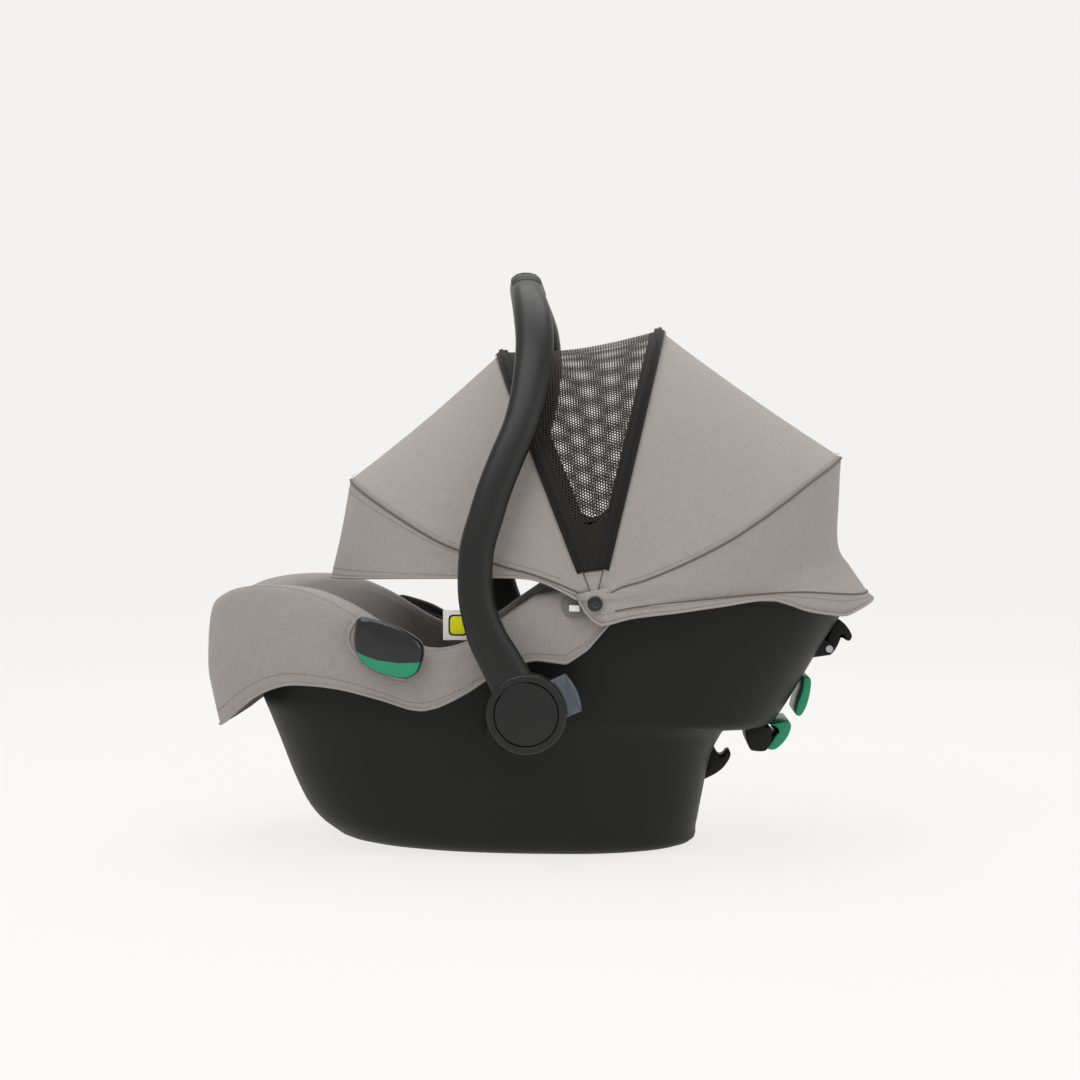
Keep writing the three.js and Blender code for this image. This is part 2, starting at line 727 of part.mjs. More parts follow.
function headrestCushion() {
  const h = wingHeight;
  const w = headrestHalfWidth;
  const shape = new THREE.Shape();
  shape.moveTo(0, 3.4);
  shape.lineTo(42, 3.4);
  shape.quadraticCurveTo(w, 8, w, 30);
  shape.lineTo(w, h - 8);
  shape.quadraticCurveTo(w - 1, h, w - 9, h);
  shape.quadraticCurveTo(w - 17, h, w - 18, h - 10);
  shape.quadraticCurveTo(w - 20, 22, 34, 20);
  shape.lineTo(-34, 20);
  shape.quadraticCurveTo(20 - w, 22, 18 - w, h - 10);
  shape.quadraticCurveTo(17 - w, h, 9 - w, h);
  shape.quadraticCurveTo(1 - w, h, -w, h - 8);
  shape.lineTo(-w, 30);
  shape.quadraticCurveTo(-w, 8, -42, 3.4);
  shape.closePath();
  return alongBack(shape, 0, headrestLength, 3);
}
const box2 = (y0, y1, h0, h1) => outline([[y0, h0], [y1, h0], [y1, h1], [y0, h1]]);

/** Stiff plate under the headrest, with a pull loop past its upper end. */
function headrestPlate() {
  const a = headrestLength + fit;
  const loop = alongBack(box2(-20, 20, 0, 15), a, a + 14);
  const made = alongBack(box2(-40, 40, 0, 3), 1, a + 2).add(loop);
  return made.subtract(alongBack(box2(-13, 13, 4, 30), a + 3.5, a + 10.5));
}

function headrestRail() {
  const xs = [116, 140, 165, 190, 214];
  const ys = [-15, 0, 15];
  const upper = xs.map((x) => ys.map((y) => vec(x, y, headrestLine(x) - fit - 0.1)));
  const lower = xs.map((x) => ys.map((y) => vec(x, y, seatTop(x, y) + 0.9)));
  return slab(upper, lower);
}

// ---------------------------------------------------------------- lap belt guides
const guideCentre = { x: -124, z: 206 };
const guideTilt = -0.5;

/** Lens-shaped outline of the lap belt guide, with the given half length and half height. */
function guideOutline(halfLength, halfHeight, from = 0, to = 2 * Math.PI) {
  const count = 28;
  const points = Array.from({ length: count }, (_, i) => {
    const angle = from + ((to - from) * i) / (to - from > 6 ? count : count - 1);
    const a = halfLength * power(Math.cos(angle), 0.9);
    const b = halfHeight * power(Math.sin(angle), 0.9);
    const c = Math.cos(guideTilt);
    const s = Math.sin(guideTilt);
    return [guideCentre.x + a * c - b * s, guideCentre.z + a * s + b * c];
  });
  return outline(points);
}
const guideGap = 7; // space for the car's belt

function beltGuide(side) {
  const inner = seatHalfWidth + 7 + guideGap;
  let made = plate(guideOutline(guideLength / 2, guideHeight / 2), ...span(side, inner, inner + 9));
  const neck = span(side, seatHalfWidth + fit, inner + 1);
  made = made.add(plate(guideOutline(guideLength / 2 - 15, guideHeight / 2 - 10), ...neck));
  const trim = plate(guideOutline(guideLength / 2 - 2, guideHeight / 2 - 2), ...span(side, inner + 6, inner + 10));
  return made.subtract(trim.intersect(lowerHalf(side, inner, 0)));
}

/** Space below the guide's long axis, shifted down by drop. */
function lowerHalf(side, inner, drop) {
  const c = Math.cos(guideTilt);
  const s = Math.sin(guideTilt);
  const at = (a, b) => [guideCentre.x + a * c - b * s, guideCentre.z + a * s + b * c];
  const shape = outline([at(-60, -2 - drop), at(60, -2 - drop), at(60, -40), at(-60, -40)]);
  return plate(shape, ...span(side, inner + 5, inner + 12));
}

function guideInlay(side) {
  const inner = seatHalfWidth + 7 + guideGap;
  const trim = plate(
    guideOutline(guideLength / 2 - 2 - fit, guideHeight / 2 - 2 - fit),
    ...span(side, inner + 6 + fit, inner + 9.4),
  );
  return trim.intersect(lowerHalf(side, inner, fit));
}

function sideTag() {
  const y = -seatHalfWidth + 14;
  return block([-80, y, rim(-66) + 13], [-54, y + 1, rim(-66) + 41]);
}

// ---------------------------------------------------------------- handle
/** Middle of the handle's tube, a share (-1..1) of the way from the left hub to the right hub. */
const handleSway = through([
  [0, 0],
  [44, -22],
  [70, -36],
  [99, -45],
  [122, -47],
  [151, -45],
  [180, -37],
  [203, -30],
  [232, -19],
  [261, -7],
  [288, 0],
  [317, 4],
  [341, 5],
  [369, 1.5],
  [401, -8],
]);

function handlePath(count) {
  const fine = Array.from({ length: 241 }, (_, i) => {
    const angle = (Math.PI * i) / 240;
    const y = armCentre * power(Math.cos(angle), 2 / handlePower);
    const up = power(Math.sin(angle), 2 / handlePower);
    return vec(handleSway(401 * up), y, pivotHeight + handleReach * up);
  });
  return new THREE.CatmullRomCurve3(fine, false, "chordal").getSpacedPoints(count - 1);
}

/** Half width (along X) and half thickness of the handle's tube at a share up the arch. */
function handleSection(up) {
  const width = lerp(lerp(21, 16, smooth(up, 0, 0.3)), 18, smooth(up, 0.6, 0.85)) - 2.5 * smooth(up, 0.9, 1);
  return { width, thickness: lerp(armHalfThickness, gripHalfThickness, smooth(up, 0.7, 1)) };
}

function handle() {
  const path = handlePath(41).slice(1, -1);
  let made = sweep(path, vec(1, 0, 0), (i) => {
    const { width, thickness } = handleSection((path[i].z - pivotHeight) / handleReach);
    return Array.from({ length: 14 }, (_, k) => {
      const angle = (2 * Math.PI * k) / 14;
      return [width * power(Math.cos(angle), 0.85), thickness * power(Math.sin(angle), 0.85)];
    });
  });
  for (const side of [-1, 1]) {
    made = made.add(rod(hubRadius, 0, pivotHeight, ...span(side, hubInner, hubOuter), 48));
  }
  for (const side of [-1, 1]) {
    made = made.subtract(rod(hubRecessRadius, 0, pivotHeight, ...span(side, hubRecessFloor, hubOuter + 9), 40));
    made = made.subtract(rod(boltHeadRadius + 3, 0, pivotHeight, ...span(side, hubCavityFloor, hubOuter), 24));
    made = made.subtract(rod(boltRadius + fit, 0, pivotHeight, ...span(side, hubInner - 1, hubOuter), 24));
    made = made.subtract(buttonBar(side, 5, hubRadius + 8, buttonWidth / 2 + fit, fit));
  }
  return made;
}

/** Bar that reaches out from the pivot along the button's direction. */
function buttonBar(side, from, to, halfWidth, grow) {
  const [y0, y1] = span(side, buttonInner - grow, buttonInner + buttonThickness + grow);
  const bar = block([from, y0, -halfWidth], [to, y1, halfWidth]);
  const matrix = new THREE.Matrix4().makeTranslation(0, 0, pivotHeight);
  return placed(bar, matrix.multiply(new THREE.Matrix4().makeRotationY(-buttonAngle)));
}

/** Thumb button: a tab with a rounded end and a stem that rests on its spring. */
function releaseButton(side) {
  const [y0, y1] = span(side, buttonInner, buttonInner + buttonThickness);
  const bar = buttonBar(side, 14, buttonReach + 5, buttonWidth / 2, 0);
  return bar.intersect(rod(buttonReach, 0, pivotHeight, y0, y1, 64));
}

function buttonSpring(side) {
  const middle = buttonInner + buttonThickness / 2;
  const length = 14 - boltRadius - 1.4 - fit;
  const geometry = new THREE.CylinderGeometry(3.2, 3.2, length, 16);
  geometry.rotateZ(Math.PI / 2);
  geometry.translate(boltRadius + 1 + length / 2, side * middle, 0);
  const matrix = new THREE.Matrix4().makeTranslation(0, 0, pivotHeight);
  geometry.applyMatrix4(matrix.multiply(new THREE.Matrix4().makeRotationY(-buttonAngle)));
  return solid(geometry);
}

function pivotBolt(side) {
  const shank = rod(boltRadius, 0, pivotHeight, ...span(side, seatHalfWidth - 30, hubCavityFloor + 1), 24);
  const head = rod(boltHeadRadius, 0, pivotHeight, ...span(side, hubCavityFloor + fit, hubRecessFloor - 1), 24);
  const nut = rod(boltHeadRadius, 0, pivotHeight, ...span(side, seatHalfWidth - 31, seatHalfWidth - 26 - fit), 6);
  return shank.add(head).add(nut);
}

function hubCap(side) {
  const profile = [[0, 0], [hubCapRadius, 0], [hubCapRadius, 5], [hubCapRadius - 2, 6.6], [0, 8]];
  const geometry = new THREE.LatheGeometry(profile.map(([r, h]) => new THREE.Vector2(r, h)), 40);
  if (side < 0) geometry.rotateX(Math.PI);
  geometry.translate(0, side * (hubRecessFloor + fit), pivotHeight);
  return solid(geometry);
}

/** Soft pad over the outer half of the grip. */
function handleGrip() {
  const path = handlePath(121).filter((p) => Math.abs(p.y) <= gripPadHalfLength && p.z > pivotHeight + 100);
  const count = 9;
  const row = (p, i, grow) => {
    const before = path[Math.max(i - 1, 0)];
    const after = path[Math.min(i + 1, path.length - 1)];
    const along = after.clone().sub(before).normalize();
    const side = vec(1, 0, 0).addScaledVector(along, -along.x).normalize();
    const out = new THREE.Vector3().crossVectors(along, side);
    const { width, thickness } = handleSection((p.z - pivotHeight) / handleReach);
    return Array.from({ length: count }, (_, k) => {
      const angle = Math.PI * lerp(0.16, 0.84, k / (count - 1));
      const s = (width + grow) * power(Math.cos(angle), 0.85);
      const o = (thickness + grow) * power(Math.sin(angle), 0.85);
      return p.clone().addScaledVector(side, s).addScaledVector(out, o);
    });
  };
  return slab(path.map((p, i) => row(p, i, 0.6 + gripPadThickness)), path.map((p, i) => row(p, i, 0.6)));
}

// ---------------------------------------------------------------- canopy
// Mid-plane points of the canopy's outer face, from the front hem round to the back hem.
const canopyTips = {
  hemFront: [-204, rimHeight + 10],
  front: [-184.5, rimHeight + 111],
  second: [-33, rimHeight + 237],
  windowDip: [45, rimHeight + 244],
  third: [124.5, rimHeight + 258.5],
  rear: [304.5, rimHeight + 129],
  boot: [[303, 98], [302, 46], [314, 24], [334, 2], [338.5, -9]].map(([x, z]) => [x, rimHeight + z]),
};
const toOuter = fit + tapeThickness; // cloth lies this far below the tapes

/** Point of the canopy at arch angle t, for a mid-plane point [x, z], with Y half width w. */
function fan([x, z], t, w, grow, shift = 0) {
  const dx = x - canopyPivotX;
  const dz = z - canopyPivotHeight;
  const length = Math.hypot(dx, dz);
  const s = power(Math.sin(t), 2 / canopyPower);
  const c = power(Math.cos(t), 2 / canopyPower);
  const r = ((length + grow) / length) * s;
  const nx = (-dz / length) * shift;
  const nz = (dx / length) * shift;
  return vec(canopyPivotX + dx * r + nx, w * c, canopyPivotHeight + dz * r + nz);
}

/** Arch angle at which the canopy is the given share of the way out from its pivot. */
const archAngle = (share) => Math.asin(share ** (canopyPower / 2));

/** Arch angles from left to right, starting the given share of the way out. */
function archAngles(share, count) {
  const start = archAngle(share);
  return Array.from({ length: count }, (_, i) => lerp(start, Math.PI - start, i / (count - 1)));
}

/** Cloth over several mid-plane points, with a small gap at its first and last edge. */
function cloth(tips, share, count = 27, drop = () => 0) {
  const edge = (j) => (j === 0 ? -0.3 : j === tips.length - 1 ? 0.3 : 0);
  const face = (w, grow) =>
    archAngles(share, count).map((t) =>
      tips.map((tip, j) => {
        const p = fan(tip, t, w, grow, edge(j));
        p.z -= drop(j / (tips.length - 1), Math.sin(t));
        return p;
      }),
    );
  return slab(face(clothOuter, -toOuter), face(clothInner, -toOuter - clothThickness));
}

/** Flat spring-steel or plastic strip along one bow line. */
function arch(tip, w, thickness, grow, width, share, count = 27) {
  const face = (dw, dl) =>
    archAngles(share, count).map((t) => [-1, 1].map((e) => fan(tip, t, w + dw, grow + dl, (e * width) / 2)));
  return slab(face(thickness / 2, thickness / 2), face(-thickness / 2, -thickness / 2));
}

function bow(tip, layer) {
  const w = bowPlane(layer);
  const grow = -toOuter - clothThickness - 1.7 - bowThickness / 2;
  let made = arch(tip, w, bowThickness, grow, bowWidth, 0.019);
  for (const side of [-1, 1]) {
    const [y0, y1] = span(side, w - bowThickness / 2, w + bowThickness / 2);
    made = made.add(rod(canopyPinRadius + 3.2, canopyPivotX, canopyPivotHeight, y0, y1, 20));
  }
  for (const side of [-1, 1]) {
    const [y0, y1] = span(side, w - 4, w + 4);
    made = made.subtract(rod(canopyPinRadius + fit, canopyPivotX, canopyPivotHeight, y0, y1, 16));
  }
  return made;
}

const tape = (tip) =>
  arch(tip, clothOuter + fit + tapeThickness / 2, tapeThickness, -tapeThickness / 2, tapeWidth, 0.13);

const patch = (side) => {
  const { second, third } = canopyTips;
  const face = (w, grow) =>
    [0.05, 0.08, 0.115].map((share) => {
      const t = side < 0 ? Math.PI - archAngle(share) : archAngle(share);
      return [fan(second, t, w, grow, -0.4), fan(third, t, w, grow, 0.4)];
    });
  return slab(face(clothOuter, -toOuter), face(clothInner, -toOuter - clothThickness));
};

const mountBossRadius = 7;

function canopyMount(side) {
  const shape = roundedRect(44, 19, 8);
  const geometry = new THREE.ExtrudeGeometry(shape, { depth: 1.6, bevelEnabled: false, curveSegments: 6 });
  geometry.rotateX(Math.PI / 2);
  geometry.translate(canopyPivotX - 8, side < 0 ? -mountFace + 1.6 : mountFace, canopyPivotHeight - 3);
  let made = solid(geometry);
  const boss = span(side, mountInner, mountFace - 0.5);
  made = made.add(rod(mountBossRadius, canopyPivotX, canopyPivotHeight - 4, ...boss, 20));
  const bore = span(side, mountInner - 1, mountFace + 1);
  return made.subtract(rod(canopyPinRadius + fit, canopyPivotX, canopyPivotHeight, ...bore, 16));
}

function canopyPin(side) {
  const shank = span(side, seatHalfWidth - 9, clothOuter + 1);
  const head = span(side, clothOuter + fit, clothOuter + 3);
  const made = rod(canopyPinRadius, canopyPivotX, canopyPivotHeight, ...shank, 16);
  return made.add(rod(6, canopyPivotX, canopyPivotHeight, ...head, 24));
}

const canopyClip = (side) => {
  const [y0, y1] = span(side, mountFace + fit, mountFace + 6);
  return block([38, y0, canopyPivotHeight - 7.5], [48, y1, canopyPivotHeight - 1.5]);
};

// ---------------------------------------------------------------- assembly
const group = new THREE.Group();
group.name = "infant_car_seat";

const colours = {
  shell: [0x2b2b2a, 0.6, 0],
  satin: [0x333433, 0.45, 0],
  gloss: [0x141414, 0.2, 0],
  fabric: [0xa8a29d, 0.95, 0],
  lining: [0x8f8984, 0.95, 0],
  mesh: [0x3a3632, 0.9, 0],
  foam: [0xd9d6cf, 0.95, 0],
  green: [0x0a8f68, 0.4, 0],
  slate: [0x4b535b, 0.45, 0],
  steel: [0xb4b6b8, 0.35, 1],
  webbing: [0x1d1d1e, 0.85, 0],
  red: [0xb5121b, 0.4, 0],
  yellow: [0xe2e019, 0.7, 0],
  white: [0xe9e7e3, 0.6, 0],
};

function add(name, shape, colour) {
  const [color, roughness, metalness] = colours[colour];
  const geometry = geometryOf(shape);
  geometry.computeVertexNormals();
  const mesh = new THREE.Mesh(geometry, new THREE.MeshStandardMaterial({ color, roughness, metalness }));
  mesh.name = name;
  group.add(mesh);
}

const sides = [["left", -1], ["right", 1]];
const { hemFront, front, second, windowDip, third, rear, boot } = canopyTips;

add("shell", shell(), "shell");
add("foam_liner", foamLiner(), "foam");
add("seat_cover", seatCover(), "fabric");
add("body_insert", bodyInsert(), "lining");
add("release_lever", releaseLever(), "satin");
add("lever_pin", leverPin(), "steel");
add("base_hook", baseHook(), "satin");
add("release_block", releaseBlock(), "satin");
add("shoulder_guide_upper", guideUpper(), "green");
add("shoulder_guide_lower", guideLower(), "green");
add("side_tag", sideTag(), "yellow");
for (const [name, side] of sides) {
  add(`belt_guide_${name}`, beltGuide(side), "gloss");
  add(`belt_guide_inlay_${name}`, guideInlay(side), "green");
}

add("buckle_body", buckleBody(), "gloss");
add("buckle_button", buckleButton(), "red");
add("crotch_strap", crotchStrap(), "webbing");
add("crotch_pad", crotchPad(), "lining");
for (const [name, side] of sides) {
  add(`buckle_tongue_${name}`, buckleTongue(side), "gloss");
  add(`shoulder_strap_${name}`, shoulderStrap(side), "webbing");
  add(`shoulder_pad_${name}`, shoulderPad(side), "lining");
}
add("adjuster_housing", adjusterHousing(), "satin");
add("adjuster_button", adjusterButton(), "slate");
add("adjuster_strap", adjusterStrap(), "webbing");

add("headrest_rail", headrestRail(), "satin");
add("headrest_plate", headrestPlate(), "satin");
add("headrest_cushion", headrestCushion(), "lining");

add("handle", handle(), "satin");
add("handle_grip", handleGrip(), "gloss");
for (const [name, side] of sides) {
  add(`pivot_bolt_${name}`, pivotBolt(side), "steel");
  add(`hub_cap_${name}`, hubCap(side), "satin");
  add(`release_button_${name}`, releaseButton(side), "slate");
  add(`button_spring_${name}`, buttonSpring(side), "steel");
}

for (const [name, side] of sides) {
  add(`canopy_mount_${name}`, canopyMount(side), "satin");
  add(`canopy_pin_${name}`, canopyPin(side), "gloss");
  add(`canopy_clip_${name}`, canopyClip(side), "white");
  add(`canopy_patch_${name}`, patch(side), "fabric");
}
add("front_bow", bow(front, 0), "satin");
add("second_bow", bow(second, 1), "satin");
add("third_bow", bow(third, 2), "satin");
add("rear_bow", bow(rear, 3), "satin");
add("visor", cloth([hemFront, front], 0.05, 27, (u, s) => 6 * (1 - u) * (1 - s)), "fabric");
add("front_panel", cloth([front, second], 0.05), "fabric");
add("window_mesh", cloth([second, windowDip, third], 0.13), "mesh");
add("rear_panel", cloth([third, rear], 0.05), "fabric");
add("canopy_boot", cloth([rear, ...boot], 0.05, 27, (u, s) => 14 * u * u * (1 - s) * Math.min(1, s * 6)), "fabric");
add("zip_front", tape(second), "mesh");
add("zip_rear", tape(third), "mesh");

export default group;
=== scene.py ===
"""Infant carrier seat with a swinging handle and a folding canopy.

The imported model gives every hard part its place. This script dresses it: it lofts the tub, the cover and the
canopy again as fine skins, plumps the cushions, weaves the straps, and gives each surface its own finish.
"""
import json
import logging
import math
from dataclasses import dataclass, field
from enum import Enum
from typing import Any, Callable, Iterable, Sequence

import bmesh
import bpy
import numpy as np
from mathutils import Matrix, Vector, noise

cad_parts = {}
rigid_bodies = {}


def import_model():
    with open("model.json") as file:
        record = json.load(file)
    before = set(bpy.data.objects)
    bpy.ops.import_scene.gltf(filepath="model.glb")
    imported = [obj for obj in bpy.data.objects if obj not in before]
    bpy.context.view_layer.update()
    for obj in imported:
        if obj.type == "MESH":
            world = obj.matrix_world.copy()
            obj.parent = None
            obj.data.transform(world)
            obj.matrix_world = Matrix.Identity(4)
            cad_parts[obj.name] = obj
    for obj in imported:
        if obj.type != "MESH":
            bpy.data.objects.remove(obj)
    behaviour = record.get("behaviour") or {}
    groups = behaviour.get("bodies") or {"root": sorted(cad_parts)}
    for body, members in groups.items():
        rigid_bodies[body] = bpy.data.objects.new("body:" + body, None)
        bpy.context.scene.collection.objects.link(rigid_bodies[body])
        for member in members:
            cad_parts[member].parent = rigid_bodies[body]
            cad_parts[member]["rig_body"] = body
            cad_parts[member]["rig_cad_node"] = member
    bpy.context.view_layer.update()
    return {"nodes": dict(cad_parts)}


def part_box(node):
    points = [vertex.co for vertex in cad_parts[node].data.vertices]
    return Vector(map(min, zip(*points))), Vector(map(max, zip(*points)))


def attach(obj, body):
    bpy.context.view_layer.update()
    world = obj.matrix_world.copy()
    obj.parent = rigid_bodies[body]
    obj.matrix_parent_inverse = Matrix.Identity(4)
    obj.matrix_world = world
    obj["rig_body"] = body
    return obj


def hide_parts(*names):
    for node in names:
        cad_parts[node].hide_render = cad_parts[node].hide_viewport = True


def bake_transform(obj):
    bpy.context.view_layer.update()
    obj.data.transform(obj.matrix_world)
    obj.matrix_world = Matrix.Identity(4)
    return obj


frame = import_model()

MM = 0.001
SQUARE_MM = 1e-6
SIDES = (("left", -1), ("right", 1))
UP = np.array([0, 0, 1.0])
CLOTH = 1.2  # thickness of the canopy's cloth
STITCH_PITCH = 3.6
STITCH = (2.6, 0.5, 0.5)  # length, width and height of one
LOG = logging.getLogger("carrier")
Points = np.ndarray
Curve = Callable[[Any], Any]


# ------------------------------------------------------------------ shape helpers
def through(points: Sequence[tuple[float, float]]) -> Curve:
    """Smooth curve y(x) through given points.

    Args:
        points: The (x, y) points, with x rising.

    Returns:
        A function that takes a number or an array of x.
    """
    xs, ys = (np.array(column, float) for column in zip(*points))
    last = len(xs) - 1
    before, after = np.maximum(np.arange(last + 1) - 1, 0), np.minimum(np.arange(last + 1) + 1, last)
    slope = (ys[after] - ys[before]) / (xs[after] - xs[before])

    def curve(x: Any) -> Any:
        """Height of the curve at x."""
        x = np.asarray(x, float)
        i = np.searchsorted(xs[1:-1], x, side="left")
        h = xs[i + 1] - xs[i]
        t = np.clip((x - xs[i]) / h, 0, 1)
        value = (1 + 2 * t) * (1 - t) ** 2 * ys[i] + t * (1 - t) ** 2 * h * slope[i]
        return value + t * t * (3 - 2 * t) * ys[i + 1] + t * t * (t - 1) * h * slope[i + 1]

    return curve


def power(value: Any, exponent: float) -> Any:
    """Power that keeps the sign of its value."""
    return np.sign(value) * np.abs(value) ** exponent


def ease(value: Any, low: float, high: float) -> Any:
    """Smooth step from 0 at low to 1 at high."""
    t = np.clip((np.asarray(value, float) - low) / (high - low), 0, 1)
    return t * t * (3 - 2 * t)


def softened(rows: Sequence[Sequence[float]], steps: int) -> Points:
    """Rows of numbers joined by a smooth curve.

    Args:
        rows: The rows that the curve passes through.
        steps: How many rows it gives for each gap.

    Returns:
        The finer rows, first and last kept.
    """
    rows = np.array(rows, float)
    padded = np.vstack([2 * rows[0] - rows[1], rows, 2 * rows[-1] - rows[-2]])
    fine = []
    for k in range(len(rows) - 1):
        a, b, c, d = padded[k : k + 4]
        for t in np.arange(steps) / steps:
            bent = (2 * a - 5 * b + 4 * c - d) * t**2 + (3 * b - a - 3 * c + d) * t**3
            fine.append(0.5 * (2 * b + (c - a) * t + bent))
    return np.array(fine + [rows[-1]])


def evened(path: Points, count: int) -> Points:
    """The path again, with count points at even distances."""
    length = distances(path)
    at = np.linspace(0, length[-1], count)
    return np.column_stack([np.interp(at, length, path[:, k]) for k in range(3)])


def distances(path: Points) -> Points:
    """How far along a path each of its points lies."""
    return np.concatenate([[0], np.cumsum(np.linalg.norm(np.diff(path, axis=0), axis=1))])


def turns(count: int) -> Points:
    """Even angles round a full turn."""
    return np.linspace(0, 2 * math.pi, count, endpoint=False)


def square_to(path: Points) -> Points:
    """Direction at each point of a path that is square to it and lies in the X-Z plane."""
    along = np.gradient(path, axis=0)
    normal = np.column_stack([-along[:, 2], 0 * along[:, 0], along[:, 0]])
    return normal / np.linalg.norm(normal, axis=1, keepdims=True)


def crumple(at: Sequence[float], scale: float, seed: float) -> float:
    """Soft random height, from -1 to 1, that wanders over about the given scale in millimetres."""
    return noise.noise(Vector((at[0] / scale + seed, at[1] / scale - seed, at[2] / scale + 3 * seed)))


class Skin:
    """Points and faces of a mesh while it is made, in millimetres."""

    def __init__(self) -> None:
        """Starts with nothing."""
        self.points: list[Points] = []
        self.faces: list[tuple[int, ...]] = []
        self.uv: list[tuple[float, float]] = []
        self.count = 0

    def add(self, points: Points, uv: Points | None = None) -> int:
        """Adds points, and returns the number of the first."""
        first = self.count
        self.points.append(np.asarray(points, float))
        self.uv.extend(map(tuple, np.zeros((len(points), 2)) if uv is None else uv))
        self.count += len(points)
        return first

    def loft(self, rings: Sequence[Points], shut: bool = True) -> "Skin":
        """Closed skin over rings of one length.

        Args:
            rings: The rings in order.
            shut: Whether both ends get a cap.

        Returns:
            The skin itself.
        """
        size = len(rings[0])
        first = self.add(np.vstack(rings))
        for k in range(len(rings) - 1):
            for i in range(size):
                a, b = first + k * size + i, first + k * size + (i + 1) % size
                self.faces.append((a, b, b + size, a + size))
        if shut:
            self._cap(rings[0], first, True)
            self._cap(rings[-1], first + (len(rings) - 1) * size, False)
        return self

    def _cap(self, ring: Points, first: int, turned: bool) -> None:
        """Closes one end of a loft with a fan round its middle."""
        middle, size = self.add([ring.mean(axis=0)]), len(ring)
        for i in range(size):
            a, b = first + i, first + (i + 1) % size
            self.faces.append((middle, b, a) if turned else (middle, a, b))

    def grid(self, rows: Points, uv: Points | None = None) -> "Skin":
        """Open sheet over rows of points, shaped (rows, columns, 3)."""
        high, wide = rows.shape[:2]
        first = self.add(rows.reshape(-1, 3), None if uv is None else uv.reshape(-1, 2))
        for i in range(high - 1):
            for j in range(wide - 1):
                a = first + i * wide + j
                self.faces.append((a, a + 1, a + wide + 1, a + wide))
        return self

    def sweep(self, path: Points, section: Callable[[float], Points], level: Points | None = None) -> "Skin":
        """Closed skin of a section drawn along a path.

        Args:
            path: The middle line.
            section: Gives (side, out) points for a share (0 to 1) of the way.
            level: A direction that the section's side keeps to; without it the section doesn't twist.

        Returns:
            The skin itself.
        """
        tangents = np.gradient(path, axis=0)
        tangents /= np.linalg.norm(tangents, axis=1, keepdims=True)
        side = np.array([1.0, 0, 0]) if level is None else level
        if abs(side @ tangents[0]) > 0.9:
            side = np.array([0, 1.0, 0])
        rings = []
        for k, (point, along) in enumerate(zip(path, tangents)):
            kept = side if level is None else level
            side = kept - along * (kept @ along)
            side = side / np.linalg.norm(side)
            out = np.cross(along, side)
            shape = section(k / (len(path) - 1))
            rings.append(point + np.outer(shape[:, 0], side) + np.outer(shape[:, 1], out))
        return self.loft(rings)

    def cord(self, path: Points, radius: float, sides: int = 10) -> "Skin":
        """Round cord along a path."""
        turn = turns(sides)
        ring = np.column_stack([np.cos(turn), np.sin(turn)]) * radius
        return self.sweep(path, lambda share: ring)

    def lathe(
        self, profile: Sequence[tuple[float, float]], centre: tuple[float, float], side: int, sides: int = 96
    ) -> "Skin":
        """Turned ring about an axis along Y.

        Args:
            profile: Closed list of (radius, y) points.
            centre: The axis in x and z.
            side: -1 for the left and 1 for the right.
            sides: How many steps go round.

        Returns:
            The skin itself.
        """
        turn = turns(sides)
        size = len(profile)
        first = self.add(
            [(centre[0] + r * math.cos(a), side * y, centre[1] + r * math.sin(a)) for a in turn for r, y in profile]
        )
        for k in range(sides):
            for i in range(size):
                a, b = first + k * size + i, first + k * size + (i + 1) % size
                c, d = first + ((k + 1) % sides) * size + (i + 1) % size, first + ((k + 1) % sides) * size + i
                self.faces.append((a, b, c, d))
        return self

    def plate(self, outline: Points, low: float, high: float, soft: float) -> "Skin":
        """Flat part cut to an outline in X-Z, with rounded edges.

        Args:
            outline: The (x, z) points in order.
            low: Its lower y.
            high: Its upper y.
            soft: The radius of its edges.

        Returns:
            The skin itself.
        """
        outline = np.asarray(outline, float)
        ahead, behind = np.roll(outline, -1, axis=0), np.roll(outline, 1, axis=0)
        along = ahead - behind
        along /= np.linalg.norm(along, axis=1, keepdims=True)
        area = np.sum(outline[:, 0] * ahead[:, 1] - ahead[:, 0] * outline[:, 1])
        inward = np.column_stack([-along[:, 1], along[:, 0]]) * (1 if area > 0 else -1)
        rings = []
        steps = ((1, 0), (0.3, 0.3), (0, 1))
        levels = [(depth, low + rise * soft) for depth, rise in steps]
        levels += [(depth, high - rise * soft) for depth, rise in reversed(steps)]
        for depth, y in levels:
            flat = outline + inward * soft * depth
            rings.append(np.column_stack([flat[:, 0], np.full(len(flat), y), flat[:, 1]]))
        return self.loft(rings)

    def made(self, name: str, sharp: float = 42.0) -> bpy.types.Object:
        """Makes the object, in metres, with its faces outwards.

        Args:
            name: The piece's name.
            sharp: Edges that turn more than this many degrees stay sharp.

        Returns:
            The new object.
        """
        mesh = bpy.data.meshes.new(name)
        points = np.vstack(self.points) * MM
        mesh.from_pydata(points.tolist(), [], self.faces)
        layer = mesh.uv_layers.new(name="cloth")
        at = np.array(self.uv) * MM
        loops = np.zeros(len(mesh.loops), np.int32)
        mesh.loops.foreach_get("vertex_index", loops)
        layer.data.foreach_set("uv", at[loops].astype(np.float32).ravel())
        tidy = bmesh.new()
        tidy.from_mesh(mesh)
        bmesh.ops.remove_doubles(tidy, verts=tidy.verts, dist=1e-6)
        bmesh.ops.recalc_face_normals(tidy, faces=tidy.faces)
        tidy.to_mesh(mesh)
        tidy.free()
        mesh.shade_smooth()
        mesh.set_sharp_from_angle(angle=math.radians(sharp))
        made = bpy.data.objects.new(name, mesh)
        bpy.context.scene.collection.objects.link(made)
        return made


